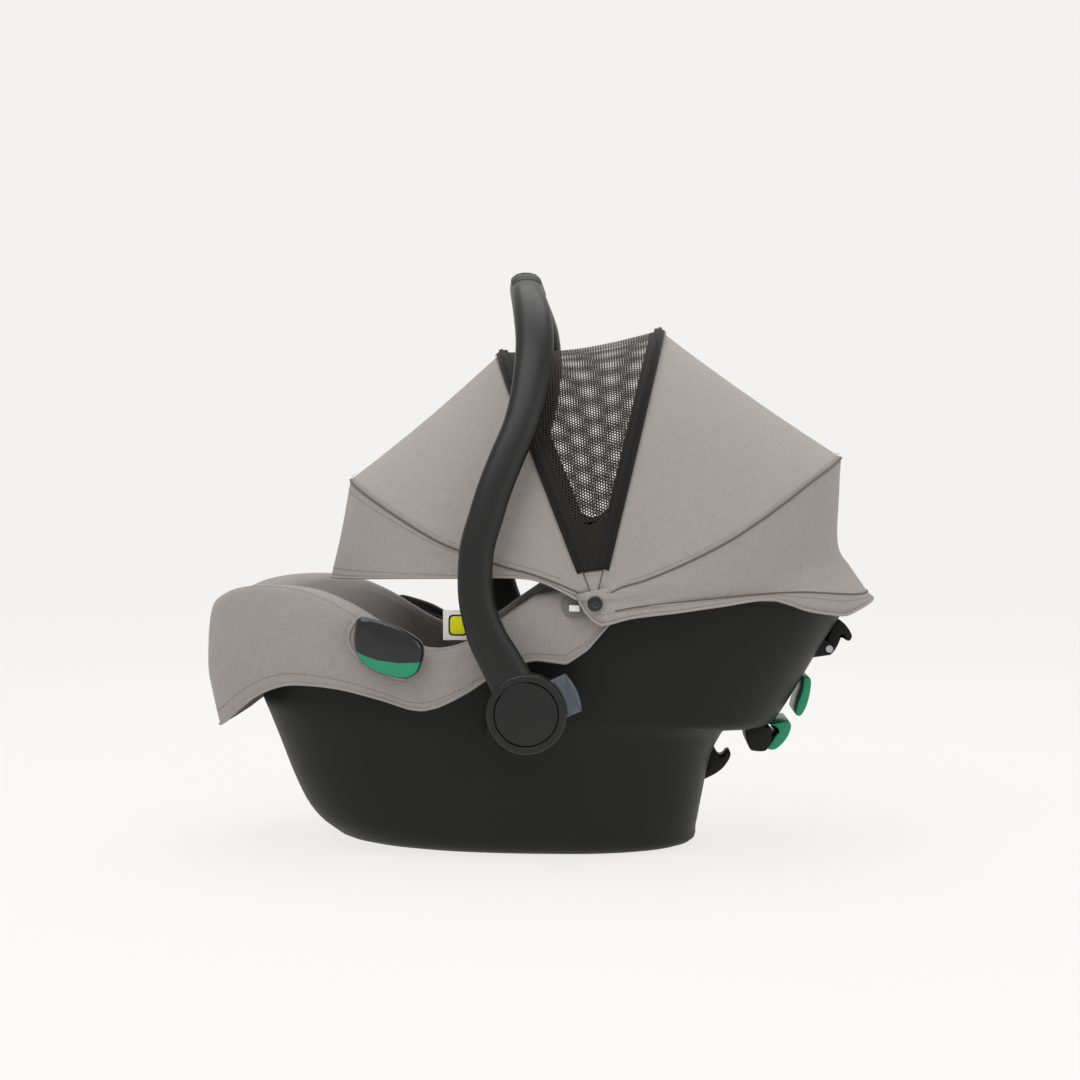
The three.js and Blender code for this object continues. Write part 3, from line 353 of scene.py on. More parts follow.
def settled(piece: bpy.types.Object) -> bpy.types.Object:
    """Makes a piece's modifiers part of its mesh, and returns it."""
    bpy.context.view_layer.update()
    graph = bpy.context.evaluated_depsgraph_get()
    mesh = bpy.data.meshes.new_from_object(piece.evaluated_get(graph), depsgraph=graph)
    old, piece.data = piece.data, mesh
    piece.modifiers.clear()
    mesh.name = piece.name
    bpy.data.meshes.remove(old)
    return piece


def thickened(piece: bpy.types.Object, thickness: float) -> bpy.types.Object:
    """Gives an open sheet its thickness in millimetres, inwards from its outer face."""
    wall = piece.modifiers.new("wall", "SOLIDIFY")
    wall.thickness = thickness * MM
    wall.offset = -1
    wall.use_even_offset = False
    return settled(piece)


def facing_out(piece: bpy.types.Object, centre: Points) -> bpy.types.Object:
    """Turns an open sheet's faces so that they look away from a centre in millimetres."""
    mesh = piece.data
    middle = Vector(centre * MM)
    away = sum(p.normal.dot(p.center - middle) * p.area for p in mesh.polygons)
    if away < 0:
        mesh.flip_normals()
    return piece


def refined(node: str, soft: float) -> bpy.types.Object:
    """Copies a hard CAD part with its edges broken by a small radius.

    Args:
        node: The CAD node.
        soft: The edge radius in millimetres.

    Returns:
        A new piece that stands for the node.
    """
    piece = frame["nodes"][node].copy()
    piece.data = piece.data.copy()
    piece.name = f"{node}_moulded"
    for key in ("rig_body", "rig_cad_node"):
        if key in piece:
            del piece[key]
    piece.parent = None
    bpy.context.scene.collection.objects.link(piece)
    tidy = bmesh.new()
    tidy.from_mesh(piece.data)
    bmesh.ops.remove_doubles(tidy, verts=tidy.verts, dist=1e-5)
    bmesh.ops.dissolve_limit(tidy, angle_limit=math.radians(2), verts=tidy.verts, edges=tidy.edges)
    tidy.to_mesh(piece.data)
    tidy.free()
    edge = piece.modifiers.new("edge", "BEVEL")
    edge.width = soft * MM
    edge.segments = 3
    edge.limit_method = "ANGLE"
    edge.angle_limit = math.radians(38)
    edge.use_clamp_overlap = True
    settled(piece)
    piece.data.shade_smooth()
    piece.data.set_sharp_from_angle(angle=math.radians(40))
    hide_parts(node)
    return piece


def painted(piece: bpy.types.Object, finish: bpy.types.Material, node: str | None) -> None:
    """Gives a piece its finish, and hides the CAD node that it replaces."""
    piece.data.materials.clear()
    piece.data.materials.append(finish)
    if node is not None:
        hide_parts(node)


def dressed(
    piece: bpy.types.Object, finish: bpy.types.Material, body: str, node: str | None = None
) -> bpy.types.Object:
    """Finishes a piece that rides on one body.

    Args:
        piece: The finished mesh.
        finish: Its material.
        body: The body that carries it.
        node: The CAD node that it replaces, if it does.

    Returns:
        The piece.
    """
    painted(piece, finish, node)
    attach(piece, body)
    LOG.info("%s: %d faces on %s", piece.name, len(piece.data.polygons), body)
    return piece


def spanned(
    piece: bpy.types.Object,
    finish: bpy.types.Material,
    bodies: tuple[str, str],
    node: str | None = None,
) -> bpy.types.Object:
    """Gives a piece that crosses a joint its finish, and bakes its place into its mesh.

    Args:
        piece: The finished mesh.
        finish: Its material.
        bodies: The body at each end.
        node: The CAD node that it replaces, if it does.

    Returns:
        The piece.
    """
    painted(piece, finish, node)
    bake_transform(piece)
    LOG.info("%s: %d faces from %s to %s", piece.name, len(piece.data.polygons), *bodies)
    return piece


def piped(
    name: str, path: Points, radius: float, finish: bpy.types.Material, body: str, sides: int = 10
) -> None:
    """Sews a round cord along a path of points in millimetres."""
    cord = Skin().cord(path, radius, sides).made(name)
    dressed(cord, finish, body)


# ------------------------------------------------------------------ shader bench
def tint(code: int) -> tuple[float, float, float, float]:
    """Linear colour of a 0xRRGGBB number."""
    parts = [((code >> shift) & 255) / 255 for shift in (16, 8, 0)]
    return (*[c / 12.92 if c <= 0.04045 else ((c + 0.055) / 1.055) ** 2.4 for c in parts], 1.0)


class Wire:
    """A node's output, worked with in plain expressions."""

    def __init__(self, bench: "Bench", socket: bpy.types.NodeSocket) -> None:
        """Wraps a socket of a bench."""
        self.bench, self.socket = bench, socket

    def _do(self, operation: str, *values: Any) -> "Wire":
        """Adds a Math node on this and other values."""
        return self.bench.put("ShaderNodeMath", {"operation": operation}, dict(enumerate(values)))

    def __add__(self, other: Any) -> "Wire":
        """Sum."""
        return self._do("ADD", self, other)

    __radd__ = __add__

    def __sub__(self, other: Any) -> "Wire":
        """Difference."""
        return self._do("SUBTRACT", self, other)

    def __rsub__(self, other: Any) -> "Wire":
        """Difference the other way round."""
        return self._do("SUBTRACT", other, self)

    def __mul__(self, other: Any) -> "Wire":
        """Product."""
        return self._do("MULTIPLY", self, other)

    __rmul__ = __mul__

    def __truediv__(self, other: Any) -> "Wire":
        """Quotient."""
        return self._do("DIVIDE", self, other)

    def __pow__(self, other: Any) -> "Wire":
        """Power."""
        return self._do("POWER", self, other)

    def __mod__(self, other: Any) -> "Wire":
        """Remainder, never negative."""
        return self._do("FLOORED_MODULO", self, other)

    def floor(self) -> "Wire":
        """Whole part."""
        return self._do("FLOOR", self)

    def sine(self) -> "Wire":
        """Sine, in radians."""
        return self._do("SINE", self)

    def size(self) -> "Wire":
        """Value without its sign."""
        return self._do("ABSOLUTE", self)

    def smooth(self, low: float, high: float) -> "Wire":
        """Smooth step from 0 at low to 1 at high."""
        settings = {"interpolation_type": "SMOOTHSTEP"}
        return self.bench.put("ShaderNodeMapRange", settings, {"Value": self, "From Min": low, "From Max": high})


class Bench:
    """A material's node tree and the few ways to add to it."""

    def __init__(self, name: str) -> None:
        """Starts an empty material."""
        self.material = bpy.data.materials.new(name)
        self.material.use_nodes = True
        self.tree = self.material.node_tree
        self.tree.nodes.clear()

    def put(self, kind: str, settings: dict[str, Any], inputs: dict[Any, Any], out: Any = 0) -> Wire:
        """Adds one node.

        Args:
            kind: The node's type.
            settings: Its own settings, with a ramp's stops under "stops".
            inputs: Values or wires, by socket name or number.
            out: The output to give back.

        Returns:
            The chosen output.
        """
        node = self.tree.nodes.new(kind)
        for key, value in settings.items():
            if key == "stops":
                self._ramp(node.color_ramp, value)
            else:
                setattr(node, key, value)
        for key, value in inputs.items():
            if isinstance(value, Wire):
                self.tree.links.new(value.socket, node.inputs[key])
            else:
                node.inputs[key].default_value = value
        return Wire(self, node.outputs[out])

    @staticmethod
    def _ramp(ramp: bpy.types.ColorRamp, stops: Sequence[tuple[float, float]]) -> None:
        """Sets a ramp's stops of (place, grey)."""
        while len(ramp.elements) < len(stops):
            ramp.elements.new(0.5)
        for element, (place, grey) in zip(ramp.elements, stops):
            element.position, element.color = place, (grey, grey, grey, 1)

    def mixed(self, share: Any, first: Any, second: Any) -> Wire:
        """Colour between two colours."""
        return self.put("ShaderNodeMix", {"data_type": "RGBA"}, {0: share, 6: first, 7: second}, 2)

    def place(self, uv: bool, scale: tuple[float, float, float], turn: float = 0.0) -> Wire:
        """Coordinates of the surface, scaled.

        Args:
            uv: Whether they follow the cloth's own map; if not, the object's space.
            scale: The factor on each axis.
            turn: A turn about Z in radians.

        Returns:
            The vector.
        """
        if uv:
            source = self.put("ShaderNodeUVMap", {"uv_map": "cloth"}, {})
        else:
            source = self.put("ShaderNodeTexCoord", {}, {}, "Object")
        return self.put("ShaderNodeMapping", {}, {"Vector": source, "Rotation": (0, 0, turn), "Scale": scale})

    def parted(self, vector: Wire) -> list[Wire]:
        """The three numbers of a vector."""
        first = self.put("ShaderNodeSeparateXYZ", {}, {"Vector": vector})
        node = first.socket.node
        return [Wire(self, node.outputs[k]) for k in range(3)]

    def speckle(self, at: Wire, detail: float = 3.0, rough: float = 0.55) -> Wire:
        """Soft random pattern from 0 to 1."""
        return self.put("ShaderNodeTexNoise", {}, {"Vector": at, "Scale": 1.0, "Detail": detail, "Roughness": rough})

    def bump(self, height: Wire, strength: float, depth: float, under: Wire | None = None) -> Wire:
        """Bumps of a depth in metres."""
        inputs: dict[Any, Any] = {"Height": height, "Strength": strength, "Distance": depth}
        if under is not None:
            inputs["Normal"] = under
        return self.put("ShaderNodeBump", {}, inputs)

    def finished(self, constants: dict[str, Any], wires: dict[str, Wire]) -> bpy.types.Material:
        """Ends the material.

        Args:
            constants: Numbers and colours that stay the same all over.
            wires: What changes over the surface.

        Returns:
            The material.
        """
        shader = self.put("ShaderNodeBsdfPrincipled", {}, {**constants, **wires})
        self.put_output(shader)
        return self.material

    def put_output(self, shader: Wire) -> None:
        """Adds the output node."""
        node = self.tree.nodes.new("ShaderNodeOutputMaterial")
        self.tree.links.new(shader.socket, node.inputs["Surface"])


@dataclass(frozen=True)
class Weave:
    """Plain woven cloth with slubs, on the cloth's own map or in the object's space."""

    name: str
    colour: int
    dark: int
    light: int
    pitch: float = 0.85
    slub: float = 1.0
    rough: float = 0.92
    sheen: float = 0.12
    uv: bool = True
    weave_depth: float = 0.12

    def build(self) -> bpy.types.Material:
        """Makes the cloth's material."""
        bench = Bench(self.name)
        step = 1 / (self.pitch * MM)
        across, along, up = bench.parted(bench.place(self.uv, (step, step, step)))
        if not self.uv:
            along = along + up
        over = (across * math.pi).sine().size()
        under = (along * math.pi).sine().size()
        turn = (across.floor() + along.floor()) % 2
        thread = over * turn + under * (1 - turn)
        if self.uv:
            long_warp, long_weft = (1000, 75, 1), (75, 1000, 1)
        else:
            long_warp, long_weft = (700, 80, 80), (90, 90, 700)
        warp = bench.speckle(bench.place(self.uv, long_warp), 2.0)
        weft = bench.speckle(bench.place(self.uv, long_weft), 2.0)
        cloud = bench.speckle(bench.place(self.uv, (26, 26, 26)), 3.0)
        fibre = bench.speckle(bench.place(self.uv, (900, 900, 900)), 2.0)
        streak = (warp.smooth(0.30, 0.72) + weft.smooth(0.30, 0.72)) * 0.5
        tone = streak * self.slub + (1 - self.slub) * 0.5
        tone = tone + (cloud - 0.5) * 0.16 + (fibre - 0.5) * 0.34 + (thread - 0.6) * 0.18
        ends = bench.mixed(tone.smooth(0.5, 1.0), tint(self.colour), tint(self.light))
        colour = bench.mixed(tone.smooth(0.0, 0.5), tint(self.dark), ends)
        height = thread + streak * 0.8 + fibre * 0.3
        rough = (self.rough - 0.04) + fibre * 0.08
        normal = bench.bump(height, 0.55, self.weave_depth * MM)
        constants = {"Sheen Weight": self.sheen, "Sheen Roughness": 0.45, "Specular IOR Level": 0.25}
        return bench.finished(constants, {"Base Color": colour, "Roughness": rough, "Normal": normal})


@dataclass(frozen=True)
class Jersey:
    """Brushed knit for the padding, the same in every direction."""

    name: str
    colour: int
    dark: int
    rough: float = 0.95

    def build(self) -> bpy.types.Material:
        """Makes the knit's material."""
        bench = Bench(self.name)
        at = bench.place(False, (620, 620, 900))
        loops = bench.put("ShaderNodeTexVoronoi", {"feature": "SMOOTH_F1"}, {"Vector": at, "Scale": 1.0})
        nap = bench.speckle(bench.place(False, (1300, 1300, 1300)), 2.0)
        cloud = bench.speckle(bench.place(False, (34, 34, 34)), 4.0)
        tone = (loops * 0.5 + nap * 0.4 + cloud * 0.45).smooth(0.35, 0.95)
        colour = bench.mixed(tone, tint(self.colour), tint(self.dark))
        normal = bench.bump(1 - loops + nap * 0.6, 0.5, 0.16 * MM)
        rough = (self.rough - 0.05) + nap * 0.08
        constants = {"Sheen Weight": 0.22, "Sheen Roughness": 0.4, "Specular IOR Level": 0.2}
        return bench.finished(constants, {"Base Color": colour, "Roughness": rough, "Normal": normal})


@dataclass(frozen=True)
class Webbing:
    """Herringbone strap that follows its own map."""

    name: str
    colour: int
    light: int

    def build(self) -> bpy.types.Material:
        """Makes the strap's material."""
        bench = Bench(self.name)
        across, along, _ = bench.parted(bench.place(True, (1000, 1000, 1)))
        zig = ((across % 6.0) - 3.0).size()
        rib = ((along + zig) * (2 * math.pi / 2.2)).sine() * 0.5 + 0.5
        fibre = bench.speckle(bench.place(True, (2400, 300, 1)), 2.0)
        tone = (rib * 0.6 + fibre * 0.5).smooth(0.25, 1.0)
        colour = bench.mixed(tone, tint(self.colour), tint(self.light))
        rough = 0.62 + fibre * 0.2
        normal = bench.bump(rib + fibre * 0.3, 0.6, 0.2 * MM)
        constants = {"Sheen Weight": 0.1, "Specular IOR Level": 0.35}
        return bench.finished(constants, {"Base Color": colour, "Roughness": rough, "Normal": normal})


@dataclass(frozen=True)
class Moulded:
    """Moulded plastic or rubber with a spark-etched grain, faint marks and paler edges."""

    name: str
    colour: int
    edge: int
    rough: float = 0.5
    grain: float = 0.05
    grain_scale: float = 1500.0
    scuff: float = 0.5
    coat: float = 0.0
    specular: float = 0.5

    def build(self) -> bpy.types.Material:
        """Makes the plastic's material."""
        bench = Bench(self.name)
        grain = bench.speckle(bench.place(False, (self.grain_scale,) * 3), 3.0, 0.6)
        flow = bench.speckle(bench.place(False, (9, 14, 22)), 3.0)
        marks = bench.speckle(bench.place(False, (60, 60, 420), 0.4), 4.0, 0.7)
        cloud = bench.speckle(bench.place(False, (45, 45, 45)), 5.0)
        worn = bench.put("ShaderNodeNewGeometry", {}, {}, "Pointiness").smooth(0.53, 0.62)
        rubbed = worn * cloud.smooth(0.4, 0.7) * self.scuff
        body = bench.mixed((flow - 0.5) * 0.5 + 0.25, tint(self.colour), tint(self.edge))
        mild = bench.mixed((flow.smooth(0.35, 0.7)) * 0.22, tint(self.colour), body)
        colour = bench.mixed(rubbed, mild, tint(self.edge))
        rough = (self.rough - 0.05) + flow * 0.06 + marks.smooth(0.55, 0.8) * 0.07 + grain * 0.04
        normal = bench.bump(grain + marks * 0.15, 0.4, self.grain * MM)
        constants = {"Coat Weight": self.coat, "Coat Roughness": 0.08, "Specular IOR Level": self.specular}
        return bench.finished(constants, {"Base Color": colour, "Roughness": rough, "Normal": normal})


@dataclass(frozen=True)
class Steel:
    """Zinc-plated steel with fine turning marks."""

    name: str
    colour: int
    rough: float = 0.3

    def build(self) -> bpy.types.Material:
        """Makes the metal's material."""
        bench = Bench(self.name)
        brushed = bench.speckle(bench.place(False, (2200, 160, 2200)), 3.0)
        cloud = bench.speckle(bench.place(False, (120, 120, 120)), 3.0)
        colour = bench.mixed(cloud * 0.3, tint(self.colour), tint(0x8D8F92))
        rough = self.rough + brushed * 0.16
        normal = bench.bump(brushed, 0.3, 0.02 * MM)
        return bench.finished({"Metallic": 1.0}, {"Base Color": colour, "Roughness": rough, "Normal": normal})


@dataclass(frozen=True)
class Foam:
    """Bead foam with its round cells."""

    name: str
    colour: int

    def build(self) -> bpy.types.Material:
        """Makes the foam's material."""
        bench = Bench(self.name)
        at = bench.place(False, (260, 260, 260))
        bead = bench.put("ShaderNodeTexVoronoi", {"feature": "DISTANCE_TO_EDGE"}, {"Vector": at, "Scale": 1.0})
        rim = bead.smooth(0.0, 0.12)
        colour = bench.mixed(rim, tint(0xB9B6AE), tint(self.colour))
        normal = bench.bump(rim, 0.6, 0.3 * MM)
        rough = 0.9 - rim * 0.1
        return bench.finished({"Specular IOR Level": 0.3}, {"Base Color": colour, "Roughness": rough, "Normal": normal})


class Finishes:
    """Every finish of the carrier, made once."""

    def __init__(self) -> None:
        """Builds the materials."""
        self.canopy = Weave("canopy_cloth", 0x99938F, 0x928C88, 0xA09A96).build()
        self.cover = Weave("cover_cloth", 0x97918E, 0x908A87, 0x9E9895).build()
        self.lining = Jersey("insert_knit", 0x8B847D, 0x736C66).build()
        self.pad = Jersey("pad_knit", 0x6B6561, 0x524D4A).build()
        self.webbing = Webbing("strap_webbing", 0x1A1A1B, 0x37373A).build()
        self.thread = Weave("sewing_thread", 0x7C7671, 0x6A6560, 0x8F8984, 0.5, 0.3, 0.8, 0.1, False, 0.04).build()
        # Seam cord: its dark colour is painted shade, standing in for the thin shadow line along the canopy's seams.
        self.seam = Weave("seam_shadow_cord", 0x5E5A56, 0x4D4946, 0x716C68, 0.6, 0.3, 0.9, 0.08, False, 0.06).build()
        self.dark_thread = Weave("dark_thread", 0x2B2826, 0x1D1B1A, 0x3B3835, 0.5, 0.3, 0.75, 0.1, False, 0.04).build()
        self.net = Weave("window_net", 0x2E2A27, 0x201D1B, 0x403B37, 0.6, 0.5, 0.78, 0.1, False, 0.08).build()
        self.tape = Weave("tape_cloth", 0x1C1A19, 0x131211, 0x2B2826, 0.7, 0.4, 0.8, 0.1, True, 0.1).build()
        self.shell = Moulded("shell_plastic", 0x121211, 0x1C1C1B, 0.52, 0.08, 1300.0, 0.5, 0.0, 0.22).build()
        self.satin = Moulded("handle_plastic", 0x131313, 0x212121, 0.38, 0.03, 1700.0, 0.45, 0.0, 0.36).build()
        self.grip = Moulded("grip_rubber", 0x171718, 0x252526, 0.58, 0.06, 1100.0, 0.3).build()
        self.gloss = Moulded("gloss_plastic", 0x070708, 0x121214, 0.16, 0.004, 2400.0, 0.2, 0.35, 0.4).build()
        self.mount = Moulded("mount_plastic", 0x6E6964, 0x85807B, 0.5, 0.04, 1500.0, 0.4).build()
        self.green = Moulded("green_plastic", 0x08855F, 0x1E9E78, 0.34, 0.02, 2000.0, 0.4).build()
        self.slate = Moulded("slate_plastic", 0x4A535B, 0x5F6871, 0.42, 0.04, 1500.0, 0.5).build()
        self.red = Moulded("red_plastic", 0xAE1620, 0xC43C40, 0.32, 0.02, 2000.0, 0.4).build()
        self.white = Moulded("white_plastic", 0xDEDCD7, 0xF0EEEA, 0.4, 0.02, 1800.0, 0.3).build()
        self.yellow = Weave("tag_yellow", 0xDAD716, 0xC9C60F, 0xE6E32E, 0.5, 0.4, 0.7, 0.05, False, 0.03).build()
        self.steel = Steel("plated_steel", 0xB4B6B8).build()
        self.foam = Foam("bead_foam", 0x8E8781).build()


# ------------------------------------------------------------------ rows of small things
class RowShape(Enum):
    """What a row repeats."""

    STITCH = "stitch"
    TOOTH = "tooth"


class NodeTree:
    """Geometry node tree with named inputs and one mesh as its result."""

    def __init__(self, name: str, inputs: dict[str, str]) -> None:
        """Makes the tree.

        Args:
            name: The tree's name.
            inputs: The kind of each input's socket, by the input's name.
        """
        self.tree = bpy.data.node_groups.new(name, "GeometryNodeTree")
        face = self.tree.interface
        self.ids = {
            key: face.new_socket(key, in_out="INPUT", socket_type=f"NodeSocket{kind}").identifier
            for key, kind in inputs.items()
        }
        face.new_socket("Geometry", in_out="OUTPUT", socket_type="NodeSocketGeometry")
        self.given, self.result = self._add("NodeGroupInput"), self._add("NodeGroupOutput")

    def _add(self, kind: str, **settings: Any) -> bpy.types.Node:
        """Adds a node with its settings."""
        node = self.tree.nodes.new(kind)
        for key, value in settings.items():
            setattr(node, key, value)
        return node

    def _join(self, *joins: tuple[bpy.types.Node, Any, bpy.types.Node, Any]) -> None:
        """Links nodes, each join given as (from, its output, to, its input)."""
        for source, out, sink, into in joins:
            self.tree.links.new(source.outputs[out], sink.inputs[into])

    def _run(self, piece: bpy.types.Object, values: dict[str, Any]) -> bpy.types.Object:
        """Runs the tree on a piece with these input values, and keeps the mesh."""
        work = piece.modifiers.new("work", "NODES")
        work.node_group = self.tree
        for key, value in values.items():
            work[self.ids[key]] = value
        return settled(piece)


class RowTree(NodeTree):
    """Node tree that lays one small shape again and again along paths."""

    def __init__(self, shape: RowShape) -> None:
        """Builds the tree for a shape."""
        inputs = {"Geometry": "Geometry", "Pitch": "Float", "Length": "Float", "Width": "Float", "Height": "Float"}
        super().__init__(f"row_of_{shape.value}", {**inputs, "Finish": "Material"})
        self._wire(self._bead(shape))

    def _bead(self, shape: RowShape) -> bpy.types.Node:
        """Adds the node that makes one bead, a millimetre across before it is scaled."""
        if shape is RowShape.STITCH:
            bead = self._add("GeometryNodeMeshUVSphere")
            bead.inputs["Segments"].default_value = 6
            bead.inputs["Rings"].default_value = 4
        else:
            bead = self._add("GeometryNodeMeshIcoSphere")
            bead.inputs["Subdivisions"].default_value = 1
        bead.inputs["Radius"].default_value = 0.5
        return bead

    def _wire(self, bead: bpy.types.Node) -> None:
        """Joins the nodes: paths to points, shapes on points, then one real mesh."""
        given, result = self.given, self.result
        curve = self._add("GeometryNodeMeshToCurve")
        points = self._add("GeometryNodeCurveToPoints", mode="LENGTH")
        size = self._add("ShaderNodeCombineXYZ")
        shaped = self._add("GeometryNodeTransform")
        turn = self._add("FunctionNodeAlignRotationToVector", axis="X")
        laid = self._add("GeometryNodeInstanceOnPoints")
        real = self._add("GeometryNodeRealizeInstances")
        smooth = self._add("GeometryNodeSetShadeSmooth")
        finish = self._add("GeometryNodeSetMaterial")
        self._join(
            (given, "Geometry", curve, "Mesh"),
            (curve, "Curve", points, "Curve"),
            (given, "Pitch", points, "Length"),
            (given, "Length", size, 0),
            (given, "Width", size, 1),
            (given, "Height", size, 2),
            (bead, "Mesh", shaped, "Geometry"),
            (size, 0, shaped, "Scale"),
            (points, "Tangent", turn, "Vector"),
            (points, "Points", laid, "Points"),
            (shaped, "Geometry", laid, "Instance"),
            (turn, "Rotation", laid, "Rotation"),
            (laid, "Instances", real, "Geometry"),
            (real, "Geometry", smooth, "Geometry"),
            (smooth, "Geometry", finish, "Geometry"),
            (given, "Finish", finish, "Material"),
            (finish, "Geometry", result, "Geometry"),
        )

    def lay(
        self,
        name: str,
        paths: Iterable[Points],
        pitch: float,
        size: tuple[float, float, float],
        finish: bpy.types.Material,
        body: str,
        slot: str,
    ) -> None:
        """Lays the shape along paths, as one plain mesh.

        Args:
            name: The new piece's name.
            paths: Lines of points in millimetres.
            pitch: Distance from one to the next.
            size: Length, width and height of one.
            finish: Its material.
            body: The body that carries it.
            slot: Not used.
        """
        verts: list[list[float]] = []
        edges: list[tuple[int, int]] = []
        for path in paths:
            first = len(verts)
            verts.extend((np.asarray(path) * MM).tolist())
            edges.extend((first + k, first + k + 1) for k in range(len(path) - 1))
        mesh = bpy.data.meshes.new(name)
        mesh.from_pydata(verts, edges, [])
        piece = bpy.data.objects.new(name, mesh)
        bpy.context.scene.collection.objects.link(piece)
        length, width, height = (measure * MM for measure in size)
        values = {"Pitch": pitch * MM, "Length": length, "Width": width, "Height": height, "Finish": finish}
        dressed(self._run(piece, values), finish, body)


class NetTree(NodeTree):
    """Node tree that makes a flat net with staggered six-sided holes."""

    ROW_STEP = 0.866  # distance between rows of holes, as a share of the distance in a row

    def __init__(self) -> None:
        """Builds the tree."""
        counts = {"Columns": "Int", "Rows": "Int"}
        shares = {"Half step": "Float", "Hole": "Float", "Finish": "Material"}
        super().__init__("net_cloth", {"Length": "Float", "Width": "Float", **counts, **shares})
        self._wire()

    def _wire(self) -> None:
        """Joins the nodes: a staggered lattice, its dual cells, and a hole in each cell."""
        given, result = self.given, self.result
        grid = self._add("GeometryNodeMeshGrid")
        index = self._add("GeometryNodeInputIndex")
        row = self._add("ShaderNodeMath", operation="MODULO")
        odd = self._add("ShaderNodeMath", operation="MODULO")
        odd.inputs[1].default_value = 2.0
        shift = self._add("ShaderNodeMath", operation="MULTIPLY")
        offset = self._add("ShaderNodeCombineXYZ")
        moved = self._add("GeometryNodeSetPosition")
        cut = self._add("GeometryNodeTriangulate")
        cells = self._add("GeometryNodeDualMesh")
        inner = self._add("GeometryNodeExtrudeMesh", mode="FACES")
        inner.inputs["Offset Scale"].default_value = 0.0
        inner.inputs["Individual"].default_value = True
        scale = self._add("GeometryNodeScaleElements", domain="FACE")
        holes = self._add("GeometryNodeDeleteGeometry", domain="FACE", mode="ALL")
        real = self._add("GeometryNodeRealizeInstances")
        finish = self._add("GeometryNodeSetMaterial")
        self._join(
            (given, "Length", grid, "Size X"),
            (given, "Width", grid, "Size Y"),
            (given, "Columns", grid, "Vertices X"),
            (given, "Rows", grid, "Vertices Y"),
            (index, 0, row, 0),
            (given, "Rows", row, 1),
            (row, 0, odd, 0),
            (odd, 0, shift, 0),
            (given, "Half step", shift, 1),
            (shift, 0, offset, 0),
            (grid, "Mesh", moved, "Geometry"),
            (offset, 0, moved, "Offset"),
            (moved, "Geometry", cut, "Mesh"),
            (cut, "Mesh", cells, "Mesh"),
            (cells, "Dual Mesh", inner, "Mesh"),
            (inner, "Mesh", scale, "Geometry"),
            (inner, "Top", scale, "Selection"),
            (given, "Hole", scale, "Scale"),
            (scale, "Geometry", holes, "Geometry"),
            (inner, "Top", holes, "Selection"),
            (holes, "Geometry", real, "Geometry"),
            (real, "Geometry", finish, "Geometry"),
            (given, "Finish", finish, "Material"),
            (finish, "Geometry", result, "Geometry"),
        )

    def flat(
        self, name: str, length: float, width: float, pitch: float, hole: float, finish: bpy.types.Material
    ) -> bpy.types.Object:
        """Makes the flat net, centred on the origin.

        Args:
            name: The new piece's name.
            length: Its size along X in millimetres.
            width: Its size along Y.
            pitch: Distance between two holes in a row.
            hole: A hole's size as a share of its cell.
            finish: Its material.

        Returns:
            A plain mesh object.
        """
        piece = bpy.data.objects.new(name, bpy.data.meshes.new(name))
        bpy.context.scene.collection.objects.link(piece)
        step = pitch * self.ROW_STEP
        columns, rows = round(length / pitch) + 1, round(width / step) + 1
        size = {"Length": (columns - 1) * pitch * MM, "Width": (rows - 1) * step * MM}
        counts = {"Columns": columns, "Rows": rows}
        return self._run(piece, {**size, **counts, "Half step": pitch / 2 * MM, "Hole": hole, "Finish": finish})


# ------------------------------------------------------------------ cushions
def plumped(piece: bpy.types.Object, voxel: float, cap: float, up: Points) -> bpy.types.Object:
    """Blows a cushion up from inside, as stuffing does.

    Args:
        piece: A closed form, slightly smaller than the cushion.
        voxel: Size of the even mesh that it gets first, in millimetres.
        cap: How far a point may move, in millimetres.
        up: The side that is free to swell; the other side rests on something.

    Returns:
        The cushion.
    """
    even = piece.modifiers.new("even", "REMESH")
    even.mode = "VOXEL"
    even.voxel_size = voxel * MM
    even.use_smooth_shade = True
    settled(piece)
    rest = positions(piece)
    normals = np.zeros(len(rest) * 3, np.float32)
    piece.data.vertices.foreach_get("normal", normals)
    free = ease(normals.reshape(-1, 3) @ up, -0.55, 0.1)
    cloth = piece.modifiers.new("stuffing", "CLOTH")
    cloth.settings.quality = 5
    cloth.settings.mass = 0.2
    cloth.settings.use_pressure = True
    cloth.settings.uniform_pressure_force = 4
    cloth.settings.tension_stiffness = 12
    cloth.settings.compression_stiffness = 8
    cloth.settings.bending_stiffness = 0.4
    cloth.settings.effector_weights.gravity = 0
    cloth.collision_settings.use_collision = False
    cloth.point_cache.frame_start, cloth.point_cache.frame_end = 1, 20
    scene = bpy.context.scene
    for step in range(1, 21):
        scene.frame_set(step)
    graph = bpy.context.evaluated_depsgraph_get()
    swollen = np.zeros(len(rest) * 3, np.float32)
    piece.evaluated_get(graph).data.vertices.foreach_get("co", swollen)
    move = swollen.reshape(-1, 3) - rest
    far = np.linalg.norm(move, axis=1, keepdims=True)
    move *= np.minimum(1, cap * MM / np.maximum(far, 1e-9)) * free[:, None]
    piece.modifiers.clear()
    scene.frame_set(1)
    set_positions(piece, rest + move)
    finer = piece.modifiers.new("finer", "SUBSURF")
    finer.levels = finer.render_levels = 1
    settled(piece)
    piece.data.shade_smooth()
    return piece


def positions(piece: bpy.types.Object) -> Points:
    """Points of a piece's mesh, in metres."""
    flat = np.zeros(len(piece.data.vertices) * 3, np.float32)
    piece.data.vertices.foreach_get("co", flat)
    return flat.reshape(-1, 3)


def set_positions(piece: bpy.types.Object, points: Points) -> None:
    """Moves a piece's points, in metres."""
    piece.data.vertices.foreach_set("co", np.asarray(points, np.float32).ravel())
    piece.data.update()


